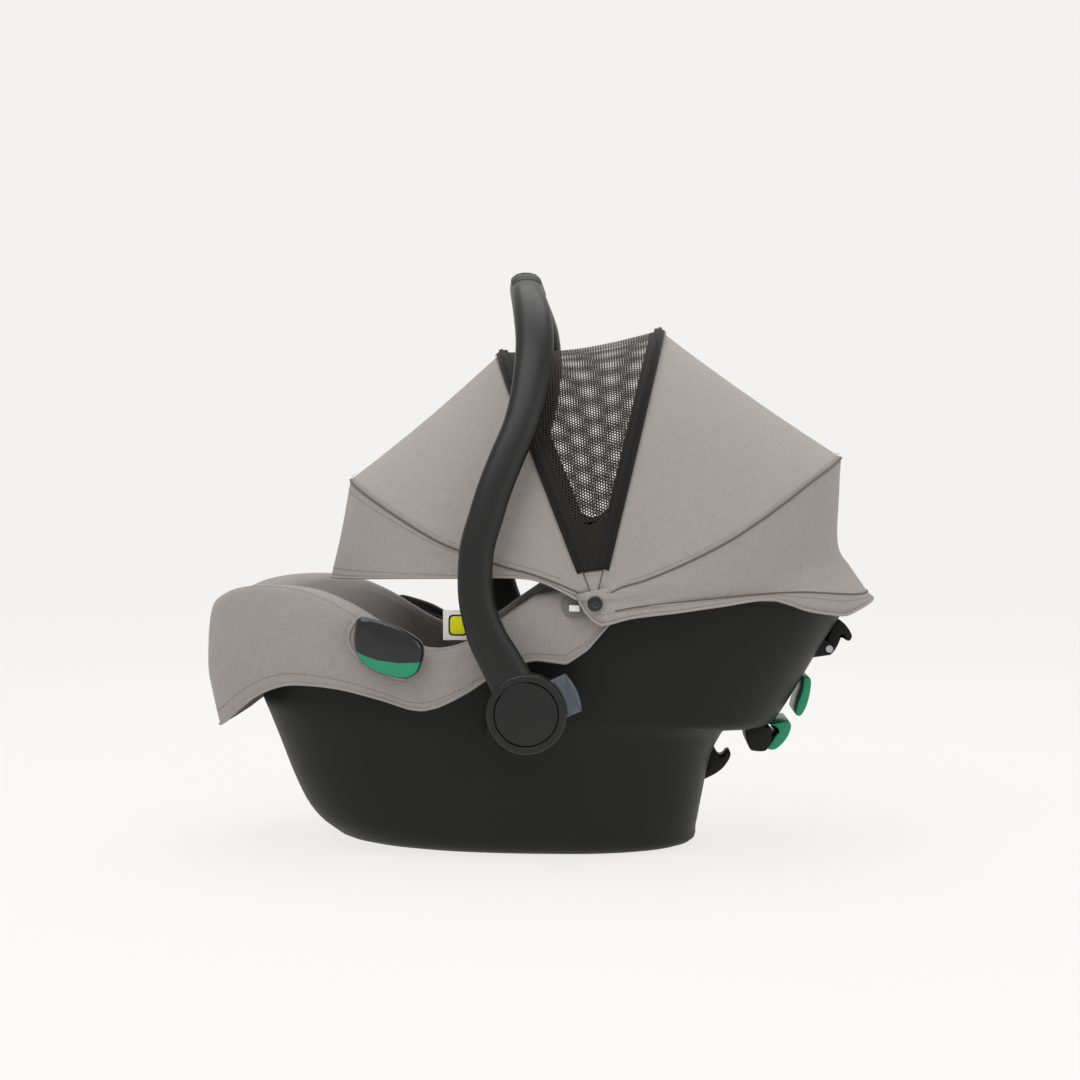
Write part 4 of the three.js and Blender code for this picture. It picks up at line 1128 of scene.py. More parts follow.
def pressed(piece: bpy.types.Object, shape: Callable[[Points, Points], Points]) -> None:
    """Moves each point along its normal by a rule.

    Args:
        piece: The mesh to change.
        shape: Gives the movement in millimetres from points in millimetres and their normals.
    """
    points = positions(piece)
    normals = np.zeros(len(points) * 3, np.float32)
    piece.data.vertices.foreach_get("normal", normals)
    normals = normals.reshape(-1, 3)
    set_positions(piece, points + normals * (shape(points / MM, normals) * MM)[:, None])


def dropped(piece: bpy.types.Object, line: Points, up: Points, height: float) -> Points:
    """Lays a line onto a piece, a hair above its face.

    Args:
        piece: The piece to lie on.
        line: Points in millimetres; one that misses the piece stays where it is.
        up: The direction that the line comes from.
        height: How far above each point its fall starts.

    Returns:
        The line on the piece.
    """
    bpy.context.view_layer.update()
    fitted = []
    for point in line:
        hit, at, _, _ = piece.ray_cast(Vector((point + up * height) * MM), Vector(-up))
        fitted.append(np.array(at) / MM + up * 0.15 if hit else point)
    return np.array(fitted)


# ------------------------------------------------------------------ seat
@dataclass
class SeatPlan:
    """Rules of the seat's shape, in millimetres: its plan curve, rim, hem and seat line."""

    half_width: float = 170.0
    front: float = 300.0
    rear: float = 322.0
    rim_height: float = 252.0
    power: float = 2.7
    inset: tuple[float, float, float] = (22.0, 20.0, 18.0)
    around: int = 168

    def __post_init__(self) -> None:
        """Makes the curves."""
        h = self.rim_height
        self.rim = through(
            [(-300, h - 20), (-270, h - 4), (-234, h + 1), (-200, h - 2), (-165, h - 16), (-120, h - 43), (-88, h - 55)]
            + [(-53, h - 49), (-25, h - 31), (5, h - 8), (40, h), (200, h + 4), (322, h - 4)]
        )
        self.hem = through(
            [(-330, h - 140), (-300, h - 133), (-253, h - 97), (-225, h - 84), (-200, h - 82), (-165, h - 85)]
            + [(-128, h - 94), (-90, h - 103), (-49, h - 85), (-5, h - 56), (43, h - 58), (73, h - 27)]
            + [(95, h - 5), (200, h - 1), (330, h - 9)]
        )
        self.line = through(
            [(-300, h - 24), (-230, 165), (-160, 118), (-100, 88), (-60, 80), (-20, 84), (60, 116), (150, 162)]
            + [(240, 208), (322, h - 8)]
        )

    @property
    def centre(self) -> float:
        """Middle of the seat along X."""
        return (self.rear - self.front) / 2

    def across(self, u: Any) -> Any:
        """Place along the seat of a share from -1 to 1."""
        return self.centre + (self.rear + self.front) / 2 * u

    def ring(self, front: float, rear: float, side: float, height: Curve) -> Points:
        """Plan ring inset from the rim, with height(x, u) for its z."""
        low, high = -self.front + front, self.rear - rear
        angle = turns(self.around)
        u = power(np.cos(angle), 2 / self.power)
        x = (low + high) / 2 + (high - low) / 2 * u
        y = (self.half_width - side) * power(np.sin(angle), 2 / self.power)
        return np.column_stack([x, y, np.broadcast_to(height(x, u), x.shape)])

    def top(self, x: Any, y: Any) -> Any:
        """Height of the padded surface at a place in plan."""
        front, rear, side = self.inset
        low, high = -self.front + front, self.rear - rear
        along = np.abs(x - (low + high) / 2) / ((high - low) / 2)
        over = np.abs(y) / (self.half_width - side)
        share = np.minimum((along**self.power + over**self.power) ** (1 / self.power), 1)
        line = self.line(x)
        return line + (self.rim(x) - 6 - line) * share**6

    def surface_ring(self, share: float, lift: float) -> Points:
        """Ring of the padded surface a share of the way out."""
        flat = self.ring(*self.inset, lambda x, u: 0 * x)
        x, y = self.centre + (flat[:, 0] - self.centre) * share, flat[:, 1] * share
        return np.column_stack([x, y, self.top(x, y) + lift])

    def edge_ring(self, front: float, rear: float, side: float, share: float, lift: float) -> Points:
        """Ring outside the seat, between the hem (0) and the rim (1)."""
        return self.ring(
            front,
            rear,
            side,
            lambda x, u: self.hem(self.across(u)) * (1 - share) + self.rim(self.across(u)) * share + lift,
        )


@dataclass
class Tub:
    """Moulded shell with its bosses, lugs, foot fittings and release lever."""

    plan: SeatPlan
    wall: float = 3.5
    pivot_height: float = 149.0
    boss_radius: float = 33.0
    boss_face: float = 187.6
    levels: tuple[tuple[float, ...], ...] = (
        (240, 204, 84, 0, 0, 0, 0),
        (128, 166, 64, 7, 5, 5, 0),
        (96, 161, 52, 20, 20, 20, 0),
        (76, 156, 44, 40, 46, 45, 0),
        (61, 148, 35, 70, 84, 75, 0),
        (48, 139, 27, 104, 106, 104, 0),
        (37, 127, 19, 132, 118, 128, 0),
        (31, 92, 15, 146, 120, 142, 0),
        (29, 75, 13, 160, 138, 160, 0.2),
        (22, 39, 8, 196, 200, 196, 0.5),
    )
    lever: tuple[tuple[float, float], ...] = (
        (285, 189), (289, 205), (296, 221), (300, 224), (308, 217), (313, 208), (311, 203), (307, 203.5),
        (303.5, 208), (299.5, 199), (293.5, 190)
    )
    hook: tuple[tuple[float, float], ...] = (
        (172, 98), (177.5, 97), (182.5, 88), (187.5, 87), (191, 91.5), (194.5, 91), (194.5, 85), (187, 74),
        (175, 66), (167, 66)
    )
    block: tuple[tuple[float, float], ...] = (
        (208, 119), (209.5, 106), (212, 98), (216, 95.5), (227, 95.5), (231.5, 101), (233.5, 109), (231, 119)
    )
    guide_upper: tuple[tuple[float, float], ...] = (
        (265, 168), (271.5, 166.5), (272, 157), (268.5, 141), (262.5, 130), (257, 132), (259.5, 143), (263.5, 155)
    )
    guide_lower: tuple[tuple[float, float], ...] = (
        (232, 121), (248, 124), (253, 120), (249, 108), (238.5, 97), (230, 97.5), (235, 106), (240, 115)
    )

    def _rings(self, grow: float) -> list[Points]:
        """Rings of one face of the tub, from its sole to under its flange."""
        rings = []
        for row in softened(self.levels, 4):
            front, rear, side, zf, zr, zs, follow = row
            zf, zr, zs = max(zf, 0) - grow, max(zr, 0) - grow, max(zs, 0) - grow

            def height(x: Any, u: Any, zf: float = zf, zr: float = zr, zs: float = zs, follow: float = follow) -> Any:
                """Height round one ring."""
                wave = follow * (self.plan.rim(self.plan.across(u)) - self.plan.rim_height)
                return zs + (zr - zf) / 2 * u + ((zr + zf) / 2 - zs) * u * u + wave

            rings.append(self.plan.ring(front - grow, rear - grow, side - grow, height))
        return [*rings, self._under_rim(12 - grow, 14 - grow, 6 - grow, 12 + grow)]

    def _under_rim(self, front: float, rear: float, side: float, drop: float) -> Points:
        """One ring a little below the rim."""
        return self.plan.ring(front, rear, side, lambda x, u: self.plan.rim(self.plan.across(u)) - drop)

    def build(self, finishes: Finishes) -> None:
        """Builds and dresses the tub."""
        skin = Skin()
        lip = [
            self._under_rim(inset, inset, inset, drop) for inset, drop in softened([(0, 8), (0, 2), (3, 0), (11, 0)], 3)
        ]
        skin.loft([*self._rings(0), *lip, *reversed(self._rings(-self.wall))])
        for side in (-1, 1):
            self._boss(skin, side)
            self._lug(skin, side)
            self._ear(skin, side)
        shell = skin.made("tub_shell", 30)
        dressed(shell, finishes.shell, "seat", node="shell")
        for node, outline, half, finish, body, slot in [
            ("release_lever", self.lever, 30.0, finishes.shell, "release_lever", "satin"),
            ("base_hook", self.hook, 14.0, finishes.shell, "seat", "satin"),
            ("release_block", self.block, 45.0, finishes.shell, "seat", "satin"),
            ("shoulder_guide_upper", self.guide_upper, 40.0, finishes.green, "seat", "green"),
            ("shoulder_guide_lower", self.guide_lower, 40.0, finishes.green, "seat", "green"),
        ]:
            loop = softened([*outline, outline[0]], 5)[:-1]
            piece = Skin().plate(loop, -half, half, 1.3).made(f"{node}_moulded", 50)
            dressed(piece, finish, body, node=node)
        liner = refined("foam_liner", 0.2)
        pressed(liner, lambda points, normals: np.full(len(points), -2.5))
        dressed(liner, finishes.foam, "seat")
        coat("lever_pin", finishes.steel)

    def _boss(self, skin: Skin, side: int) -> None:
        """Round boss that carries the handle's hub."""
        r, face = self.boss_radius, self.boss_face
        profile = [(0.5, 145), (r, 145), (r, face - 1.6), (r - 0.5, face - 0.5), (r - 1.6, face), (5.4, face)]
        skin.lathe([*profile, (0.5, face - 3)], (0, self.pivot_height), side)

    def _lug(self, skin: Skin, side: int) -> None:
        """Rib that an adapter slides onto."""
        y0, y1 = (141, 173.6) if side > 0 else (-173.6, -141)
        skin.plate(np.array([(-37, 136), (-28, 129), (-20, 112), (-30, 107), (-42, 122)], float), y0, y1, 1.2)

    def _ear(self, skin: Skin, side: int) -> None:
        """Ear that holds the release lever's pin."""
        y0, y1 = (30.4, 33.4) if side > 0 else (-33.4, -30.4)
        outline = [(272, 200), (272, 186), (292, 189), (296, 195), (292, 201), (281, 206)]
        skin.plate(np.array(outline, float), y0, y1, 0.8)


def coat(node: str, finish: bpy.types.Material) -> None:
    """Gives a CAD part that keeps its shape a better finish."""
    for slot in frame["nodes"][node].material_slots:
        slot.material = finish
    LOG.info("%s: CAD part with %s", node, finish.name)


@dataclass
class Upholstery:
    """Seat cover with its skirt, the newborn insert and the small tag."""

    plan: SeatPlan
    insert_centre: float = -55.0
    insert_half: tuple[float, float] = (145.0, 122.0)
    insert_thickness: float = 12.0
    bolster: float = 44.0
    skirt: tuple[tuple[float, ...], ...] = (
        (22, 20, 18, 1, -6),
        (14, 13, 13, 1, 4),
        (-4, 4, 4, 1, 8.5),
        (-20, -4.5, -4.5, 1, 2),
        (-25, -5, -6, 0.5, 0),
        (-12, -4.5, -4.5, 0, 0),
    )

    def build(self, finishes: Finishes, rows: RowTree) -> None:
        """Builds and dresses the soft parts of the seat."""
        self._cover(finishes, rows)
        self._insert(finishes, rows)
        tag = refined("side_tag", 0.3)
        dressed(tag, finishes.white, "seat")
        self._tag_border(finishes)

    def _cover(self, finishes: Finishes, rows: RowTree) -> None:
        """Fitted cover: bucket lining, padded rim and hanging skirt."""
        inner = [self.plan.surface_ring(share, 0.0) for share in np.linspace(0.03, 0.985, 40)]
        outer = [self.plan.edge_ring(*row) for row in softened(self.skirt, 9)]
        shade = [self._rumpled(ring, k / (len(outer) - 1)) for k, ring in enumerate(outer)]
        back = [(-8, -2, -2, 0, 0.3), (-17, -2.2, -3.4, 0.5, 0), (-2.4, -2, -2, 1, -1.5), (-1.2, -1.2, -1.2, 1, 1.2)]
        back += [(11.6, 11.6, 11.6, 1, 1.6), (16, 17, 15.5, 1, -5)]
        under = [self.plan.edge_ring(*row) for row in back]
        below = [self.plan.surface_ring(share, -4.0) for share in (0.95, 0.7, 0.4, 0.1)]
        rings = [*inner, *shade, *under, *below]
        cover = Skin().loft(rings).made("cover_padding", 60)
        self._map_cover(cover)
        dressed(cover, finishes.cover, "seat", node="seat_cover")
        hem = self._closed(shade[-1] + np.array([0, 0, -0.6]))
        piped("cover_hem_piping", hem, 1.5, finishes.cover, "seat")
        lines = [self._closed(ring + self._outward(ring) * out) for ring, out in ((shade[-3], 0.35), (shade[-22], 0.3))]
        rows.lay("cover_stitching", lines, STITCH_PITCH, (2.6, 0.55, 0.55), finishes.thread, "seat", "fabric")
        self._guide_seams(finishes, rows)

    def _rumpled(self, ring: Points, share: float) -> Points:
        """Skirt ring with soft folds that hang down from the rim."""
        strength = ease(share, 0.45, 0.8) * 1.5 + 0.35
        lift = np.array([crumple((p[0], p[1], p[2] * 0.35), 34, 2.0) + 0.5 * crumple(p, 15, 7.0) for p in ring])
        return ring + self._outward(ring) * (lift * strength - 0.3)[:, None]

    @staticmethod
    def _outward(ring: Points) -> Points:
        """Level direction away from the seat at each point of a ring."""
        along = np.roll(ring, -1, axis=0) - np.roll(ring, 1, axis=0)
        out = np.column_stack([along[:, 1], -along[:, 0], 0 * along[:, 0]])
        return out / np.maximum(np.linalg.norm(out, axis=1, keepdims=True), 1e-9)

    @staticmethod
    def _closed(ring: Points) -> Points:
        """The ring with its first point again at its end, at even distances."""
        return evened(np.vstack([ring, ring[:1]]), 420)

    def _map_cover(self, cover: bpy.types.Object) -> None:
        """Lays the weave: level round the skirt, and flat over the bucket."""
        mesh = cover.data
        layer = mesh.uv_layers["cloth"]
        for face in mesh.polygons:
            out = Vector((face.center.x - self.plan.centre * MM, face.center.y * 2.2, 0)).normalized()
            skirt = face.normal.dot(out) > 0.45
            for loop in face.loop_indices:
                p = mesh.vertices[mesh.loops[loop].vertex_index].co
                if skirt and abs(face.normal.y) > 0.55:
                    layer.data[loop].uv = (p.x, p.z)
                elif skirt:
                    layer.data[loop].uv = (p.y, p.z)
                else:
                    layer.data[loop].uv = (p.x * 1.08, p.y)

    def _guide_seams(self, finishes: Finishes, rows: RowTree) -> None:
        """Turned edge and stitches round each belt guide's slot."""
        for name, side in SIDES:
            turn = np.linspace(0.86 * math.pi, 1.72 * math.pi, 90)
            c, s = math.cos(-0.5), math.sin(-0.5)
            a, b = 38.5 * power(np.cos(turn), 0.8), 22.5 * power(np.sin(turn), 0.8)
            path = np.column_stack([-129 + a * c - b * s, np.full(90, side * 176.3), 206.5 + a * s + b * c])
            piped(f"guide_welt_{name}", path, 1.7, finishes.cover, "seat", sides=8)
            wide = path + (path - np.array([-128, side * 176.0, 205])) * 0.12
            rows.lay(f"guide_stitching_{name}", [wide], 3.4, (2.4, 0.5, 0.5), finishes.thread, "seat", "fabric")

    def _insert_ring(self, share: float, lift: Curve) -> Points:
        """Ring of the insert a share of the way out."""
        angle = turns(96)
        x = self.insert_centre + self.insert_half[0] * share * power(np.cos(angle), 2 / self.plan.power)
        y = self.insert_half[1] * share * power(np.sin(angle), 2 / self.plan.power)
        side = ease(np.abs(y) / self.insert_half[1] / share, 0.55, 0.95)
        foot = 1 - ease(x, -30, 60)
        return np.column_stack([x, y, self.plan.top(x, y) + lift(side * (0.35 + 0.65 * foot))])

    def _insert(self, finishes: Finishes, rows: RowTree) -> None:
        """Newborn insert: a quilted middle between two stuffed bolsters."""
        t, b = self.insert_thickness - 2, self.bolster - 4
        rings = [self._insert_ring(share, lambda side: t + 0 * side) for share in (0.04, 0.16, 0.3, 0.42, 0.52, 0.58)]
        bolsters = ((0.68, 1, 0.45), (0.76, 1, 0.88), (0.85, 1, 1.0), (0.93, 0.9, 0.75), (0.985, 0.5, 0.3))
        for share, low, part in bolsters:
            rings.append(self._insert_ring(share, lambda side, low=low, part=part: t * low + side * b * part))
        rings += [self._insert_ring(0.975, lambda side: 4.8 + 0 * side)]
        rings += [self._insert_ring(share, lambda side: 3.4 + 0 * side) for share in (0.86, 0.62, 0.36, 0.1)]
        insert = Skin().loft(rings).made("newborn_insert", 80)
        plumped(insert, 5.0, 5.0, UP)
        channels = (-150, -105, -60, -15, 30)

        def quilt(points: Points, normals: Points) -> Points:
            """Sewn channels across the middle, and a seam at the foot of each bolster."""
            top = ease(normals[:, 2], 0.2, 0.7)
            middle = 1 - ease(np.abs(points[:, 1]), 66, 74)
            move = np.zeros(len(points))
            for x in channels:
                move -= 2.6 * np.exp(-(((points[:, 0] - x) / 3.2) ** 2)) * middle
            inside = 1 - ease(np.abs(points[:, 0] + 55), 118, 130)
            for y in (-73, 73):
                move -= 2.8 * np.exp(-(((points[:, 1] - y) / 3.0) ** 2)) * inside
            soft = np.array([crumple(p, 26, 4.0) for p in points]) * 0.8
            return (move + soft) * top

        pressed(insert, quilt)
        dressed(insert, finishes.lining, "seat", node="body_insert")
        lines = []
        for x in channels:
            y = np.linspace(-62, 62, 60)
            lines.append(np.column_stack([np.full(60, x), y, self.plan.top(np.full(60, float(x)), y) + t + 0.6]))
        fitted = [dropped(insert, line, UP, 200) for line in lines]
        rows.lay("insert_stitching", fitted, 4.2, (3.0, 0.7, 0.7), finishes.dark_thread, "seat", "lining")
        piping = self._insert_ring(0.985, lambda side: t * 0.55 + side * b * 0.3)
        piped("insert_piping", self._closed(piping), 1.9, finishes.pad, "seat", 8)

    def _tag_border(self, finishes: Finishes) -> None:
        """Blank yellow field of the tag, with a black line round it."""
        low, high = (np.array(corner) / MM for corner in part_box("side_tag"))
        x0, x1, z0, z1 = low[0] + 5, high[0] - 3, low[2] + 4, high[2] - 4
        turn = turns(48)
        for name, inset, lift, finish, slot in (
            ("line", 0.0, 0.25, finishes.gloss, "gloss"),
            ("field", 1.7, 0.45, finishes.yellow, "yellow"),
        ):
            x = (x0 + x1) / 2 + ((x1 - x0) / 2 - inset) * power(np.cos(turn), 0.4)
            z = (z0 + z1) / 2 + ((z1 - z0) / 2 - inset) * power(np.sin(turn), 0.4)
            skin = Skin().plate(np.column_stack([x, z]), low[1] - lift, high[1] + lift, 0.15)
            dressed(skin.made(f"tag_{name}", 60), finish, "seat")


# ------------------------------------------------------------------ harness
@dataclass
class Harness:
    """Straps, pads, buckle, adjuster and headrest."""

    plan: SeatPlan
    width: float = 24.0
    thickness: float = 1.8

    def _strap(self, name: str, node: str, path: Points, finish: bpy.types.Material) -> None:
        """Flat strap with soft edges along points in the middle of its lower face."""
        fine = softened(path, 8)
        turn = turns(20)
        side = self.width / 2 * power(np.cos(turn), 0.45)
        up = self.thickness / 2 * power(np.sin(turn), 0.6) + self.thickness / 2
        far = distances(fine)
        rings = [p + np.outer(side, (0, 1, 0)) + np.outer(up, n) for p, n in zip(fine, square_to(fine))]
        skin = Skin().loft(rings)
        at = np.vstack([np.column_stack([side, np.full(len(side), d)]) for d in far] + [[[0, 0]], [[0, far[-1]]]])
        skin.uv = list(map(tuple, at))
        dressed(skin.made(name, 70), finish, "seat", node=node)

    def build(self, finishes: Finishes, rows: RowTree) -> None:
        """Builds and dresses the harness and the headrest."""
        self._straps(finishes, rows)
        self._pads(finishes)
        for node, soft, finish, body, slot in [
            ("buckle_body", 1.2, finishes.gloss, "seat", "gloss"),
            ("buckle_button", 0.8, finishes.red, "buckle_button", "red"),
            ("buckle_tongue_left", 0.5, finishes.gloss, "seat", "gloss"),
            ("buckle_tongue_right", 0.5, finishes.gloss, "seat", "gloss"),
            ("adjuster_housing", 0.8, finishes.satin, "seat", "satin"),
            ("adjuster_button", 0.6, finishes.slate, "adjuster_button", "slate"),
            ("headrest_plate", 0.7, finishes.satin, "headrest", "satin"),
        ]:
            dressed(refined(node, soft), finish, body)
        coat("headrest_rail", finishes.satin)
        self._headrest(finishes, rows)

    def _shoulder_path(self, side: int) -> Points:
        """Route of one shoulder strap from the buckle to its slot."""
        top = float(self.plan.top(105.0, 0.0))
        start = float(self.plan.top(-100.0, 0.0)) + 12 + 2 + 7.4 + 2.4 + 0.4
        points = [(-41, 15, start), (-30, 15.2, start + 0.2), (0, 19, start + 5), (35, 25, start + 14)]
        points += [(62, 29, start + 24.5), (84, 30, top + 6), (99, 30, top + 8.2), (103.4, 30, top + 4)]
        points += [(104.2, 30, top - 4.2)]
        return np.array([(x, side * y, z) for x, y, z in points], float)

    def _straps(self, finishes: Finishes, rows: RowTree) -> None:
        """Shoulder, crotch and adjuster straps, with bar tacks at the buckle."""
        for name, side in SIDES:
            path = self._shoulder_path(side)
            self._strap(f"shoulder_webbing_{name}", f"shoulder_strap_{name}", path, finishes.webbing)
            top = path[1][2] + 2.2
            tacks = [np.array([(x, side * 6, top), (x, side * 24, top)]) for x in (-34, -31)]
            rows.lay(f"bar_tack_{name}", tacks, 1.1, (1.0, 1.6, 0.6), finishes.dark_thread, "seat", "webbing")
        base = float(self.plan.top(-121.0, 0.0))
        buckle = float(self.plan.top(-100.0, 0.0)) + 14
        crotch = [(-120.8, 0, base + 1.6), (-120.8, 0, base + 12), (-118, 0, base + 14.2)]
        crotch += [(-110, 0, base + 12.6), (-98.9, 0, buckle + 5)]
        self._strap("crotch_webbing", "crotch_strap", np.array(crotch), finishes.webbing)
        slope = math.atan((float(self.plan.line(-210.0)) - float(self.plan.line(-234.0))) / 24)
        c, s, z0 = math.cos(slope), math.sin(slope), float(self.plan.top(-222.0, 0.0))
        tail = [(-222 + a * c - 8.3 * s, 0, z0 + a * s + 8.3 * c) for a in (-17.4, -19)]
        tail += [(x, 0, float(self.plan.top(float(x), 0.0)) + 2.4) for x in (-244, -252, -260)]
        lifted = np.array(tail) + np.array([0, 0, -0.2])
        self._strap("adjuster_webbing", "adjuster_strap", lifted[::-1], finishes.webbing)

    def _pads(self, finishes: Finishes) -> None:
        """Shoulder pads round the straps, and the pad under the buckle."""
        for name, side in SIDES:
            path = softened(self._shoulder_path(side)[2:5], 8)
            turn = turns(36)
            flat = np.column_stack([16.2 * power(np.cos(turn), 0.5), 3.0 * power(np.sin(turn), 0.75)])

            def section(share: float, flat: Points = flat) -> Points:
                """Pad's section, drawn in at both ends."""
                pull = 1 - 0.22 * (1 - ease(min(share, 1 - share), 0.0, 0.1))
                return flat * pull

            middle = path + square_to(path) * 0.9
            pad = Skin().sweep(middle, section, np.array([0, 1.0, 0])).made(f"shoulder_pad_soft_{name}", 80)
            plumped(pad, 3.0, 1.6, UP)
            dressed(pad, finishes.pad, "seat", node=f"shoulder_pad_{name}")
        low, high = (np.array(corner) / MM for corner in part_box("crotch_pad"))
        turn = turns(60)
        rings = []
        for share, lift in ((0.1, 0.0), (0.8, 0.0), (0.95, 0.15), (1, 0.45), (0.95, 0.8), (0.8, 1), (0.1, 1)):
            x = (low[0] + high[0]) / 2 + (high[0] - low[0]) / 2 * share * power(np.cos(turn), 0.6)
            y = high[1] * share * power(np.sin(turn), 0.6)
            floor = self.plan.top(x, y) + 12.8
            rings.append(np.column_stack([x, y, floor + np.maximum(high[2] - floor, 1.6) * lift]))
        pad = Skin().loft(rings).made("crotch_pad_soft", 80)
        plumped(pad, 3.0, 1.0, UP)
        dressed(pad, finishes.pad, "seat", node="crotch_pad")

    def _headrest(self, finishes: Finishes, rows: RowTree) -> None:
        """Winged headrest cushion on its plate."""
        slope = math.radians(29.5)
        along, up = np.array([math.cos(slope), 0, math.sin(slope)]), np.array([-math.sin(slope), 0, math.cos(slope)])
        start = np.array([112.0, 0, 148.0])
        half = [(0, 4.2), (22, 4.2), (42, 4.4), (58, 7), (69, 14), (72.5, 24), (73, 34), (73, 46), (71, 53), (65, 56.5)]
        half += [(59, 54), (56.4, 46), (55, 34), (51, 25), (43, 20.5), (32, 18.8), (16, 18.4)]
        outline = np.array(half + [(0, 18.4)] + [(-y, h) for y, h in reversed(half[1:])], float)
        outline = softened(np.vstack([outline, outline[:1]]), 3)[:-1]
        rings = []
        foot, tip = ((1.5, 0.86), (3, 0.95), (8, 0.99)), ((82, 0.99), (86.6, 0.95), (88.5, 0.86))
        for a, draw in (*foot, (25, 1), (45, 1), (65, 1), *tip):
            inner = np.column_stack([outline[:, 0] * (0.5 + draw / 2), 11 + (outline[:, 1] - 11) * draw])
            flat = inner if draw < 1 else outline
            rings.append(start + a * along + np.outer(flat[:, 0], (0, 1, 0)) + np.outer(flat[:, 1], up))
        cushion = Skin().loft(rings).made("headrest_padding", 80)
        plumped(cushion, 4.0, 3.0, up)

        def seams(points: Points, normals: Points) -> Points:
            """Seam down each wing's foot."""
            height = (points - start) @ up
            groove = np.exp(-(((np.abs(points[:, 1]) - 50) / 2.6) ** 2))
            move = -1.8 * groove * ease(normals @ up, 0.1, 0.5) * (height > 12)
            soft = np.array([crumple(p, 20, 9.0) for p in points]) * 0.6
            return move + soft * ease(normals @ up, -0.2, 0.4)

        pressed(cushion, seams)
        dressed(cushion, finishes.lining, "headrest", node="headrest_cushion")
        lines = []
        for side in (-1, 1):
            at = start + np.outer(np.linspace(8, 82, 40), along) + np.array([0, side * 50.0, 0])
            lines.append(at + up * 24)
        fitted = [dropped(cushion, line, up, 60) for line in lines]
        rows.lay("headrest_stitching", fitted, 4.0, (2.8, 0.6, 0.6), finishes.dark_thread, "headrest", "lining")


# ------------------------------------------------------------------ belt guides
@dataclass
class BeltGuides:
    """Almond-shaped lap belt guides with their green lower lip."""

    centre: tuple[float, float] = (-127.0, 207.0)
    inner: float = 184.0
    outline: tuple[tuple[float, float], ...] = (
        (-157.5, 232.5), (-159.5, 214), (-157, 202), (-150, 191.5), (-137, 184), (-119, 179.5), (-109, 179.8),
        (-101, 184.5), (-96.5, 195), (-95, 206), (-100, 215), (-118, 225.5), (-137, 232), (-152, 235.5)
    )

    def __post_init__(self) -> None:
        """Rounds the outline."""
        rows = softened([*self.outline, self.outline[0]], 7)[:-1]
        self.edge: Points = np.array(rows) - np.array(self.centre)

    def _ring(self, inset: float) -> Points:
        """The outline, drawn in towards the middle by inset millimetres."""
        size = np.linalg.norm(self.edge, axis=1, keepdims=True)
        return np.array(self.centre) + self.edge * (1 - np.minimum(inset / size, 0.95))

    def _crown(self, x: Points, z: Points) -> Points:
        """Height of the crowned body's face at a place."""
        off = np.stack([x - self.centre[0], z - self.centre[1]], axis=-1)
        angle = np.arctan2(self.edge[:, 1], self.edge[:, 0])
        order = np.argsort(angle)
        far = np.linalg.norm(self.edge, axis=1)[order]
        size = np.interp(np.arctan2(off[..., 1], off[..., 0]), angle[order], far, period=2 * math.pi)
        inset = size - np.linalg.norm(off, axis=-1)
        return self.inner + np.interp(inset, [0, 0.8, 2.6, 6, 11], [4.6, 6.6, 8.2, 9.2, 9.6])

    def build(self, finishes: Finishes) -> None:
        """Builds both guides."""
        for name, side in SIDES:
            self._guide(name, side, finishes)

    def _guide(self, name: str, side: int, finishes: Finishes) -> None:
        """One guide: crowned black body, neck and green lip."""
        rings = []
        for inset, depth in [(5, 0.0), (0.8, 0.2), (0, 1.4), (0, 4.6), (0.8, 6.6), (2.6, 8.2), (6, 9.2), (11, 9.6)]:
            flat = self._ring(inset)
            y = np.full(len(flat), side * (self.inner + depth))
            rings.append(np.column_stack([flat[:, 0], y, flat[:, 1]]))
        skin = Skin().loft(rings)
        low, high = sorted((side * 170.6, side * (self.inner + 1)))
        skin.plate(self._ring(9), low, high, 0.5)
        body = skin.made(f"belt_guide_body_{name}", 50)
        dressed(body, finishes.gloss, "seat", node=f"belt_guide_{name}")
        piece = self._lip(side).made(f"belt_guide_lip_{name}", 50)
        dressed(piece, finishes.green, "seat", node=f"belt_guide_inlay_{name}")

    def _lip(self, side: int) -> Skin:
        """Green crescent along the guide's lower edge."""
        ring = self._ring(1.2)
        first, last = int(np.argmin(ring[:, 0])), int(np.argmax(ring[:, 0]))
        around = [*range(first, last + 1)] if first < last else [*range(first, len(ring)), *range(0, last + 1)]
        lower = ring[around]
        x = np.linspace(lower[0, 0] + 0.6, lower[-1, 0] - 0.6, 70)
        low = np.interp(x, lower[:, 0], lower[:, 1])
        top = np.interp(x, [-160, -148.6, -136.5, -118, -94], [205.6, 199.7, 196, 193.4, 194.2])
        rings = []
        for share in np.linspace(0, 1, 9):
            z = low + (np.maximum(top, low + 0.2) - low) * share
            rings.append(np.column_stack([x, side * (self._crown(x, z) + 0.5), z]))
        rows = np.array(rings)
        back = rows.copy()
        back[:, :, 1] -= side * 1.6
        return Skin().loft([np.vstack([rows[:, k], back[::-1, k]]) for k in range(len(x))])


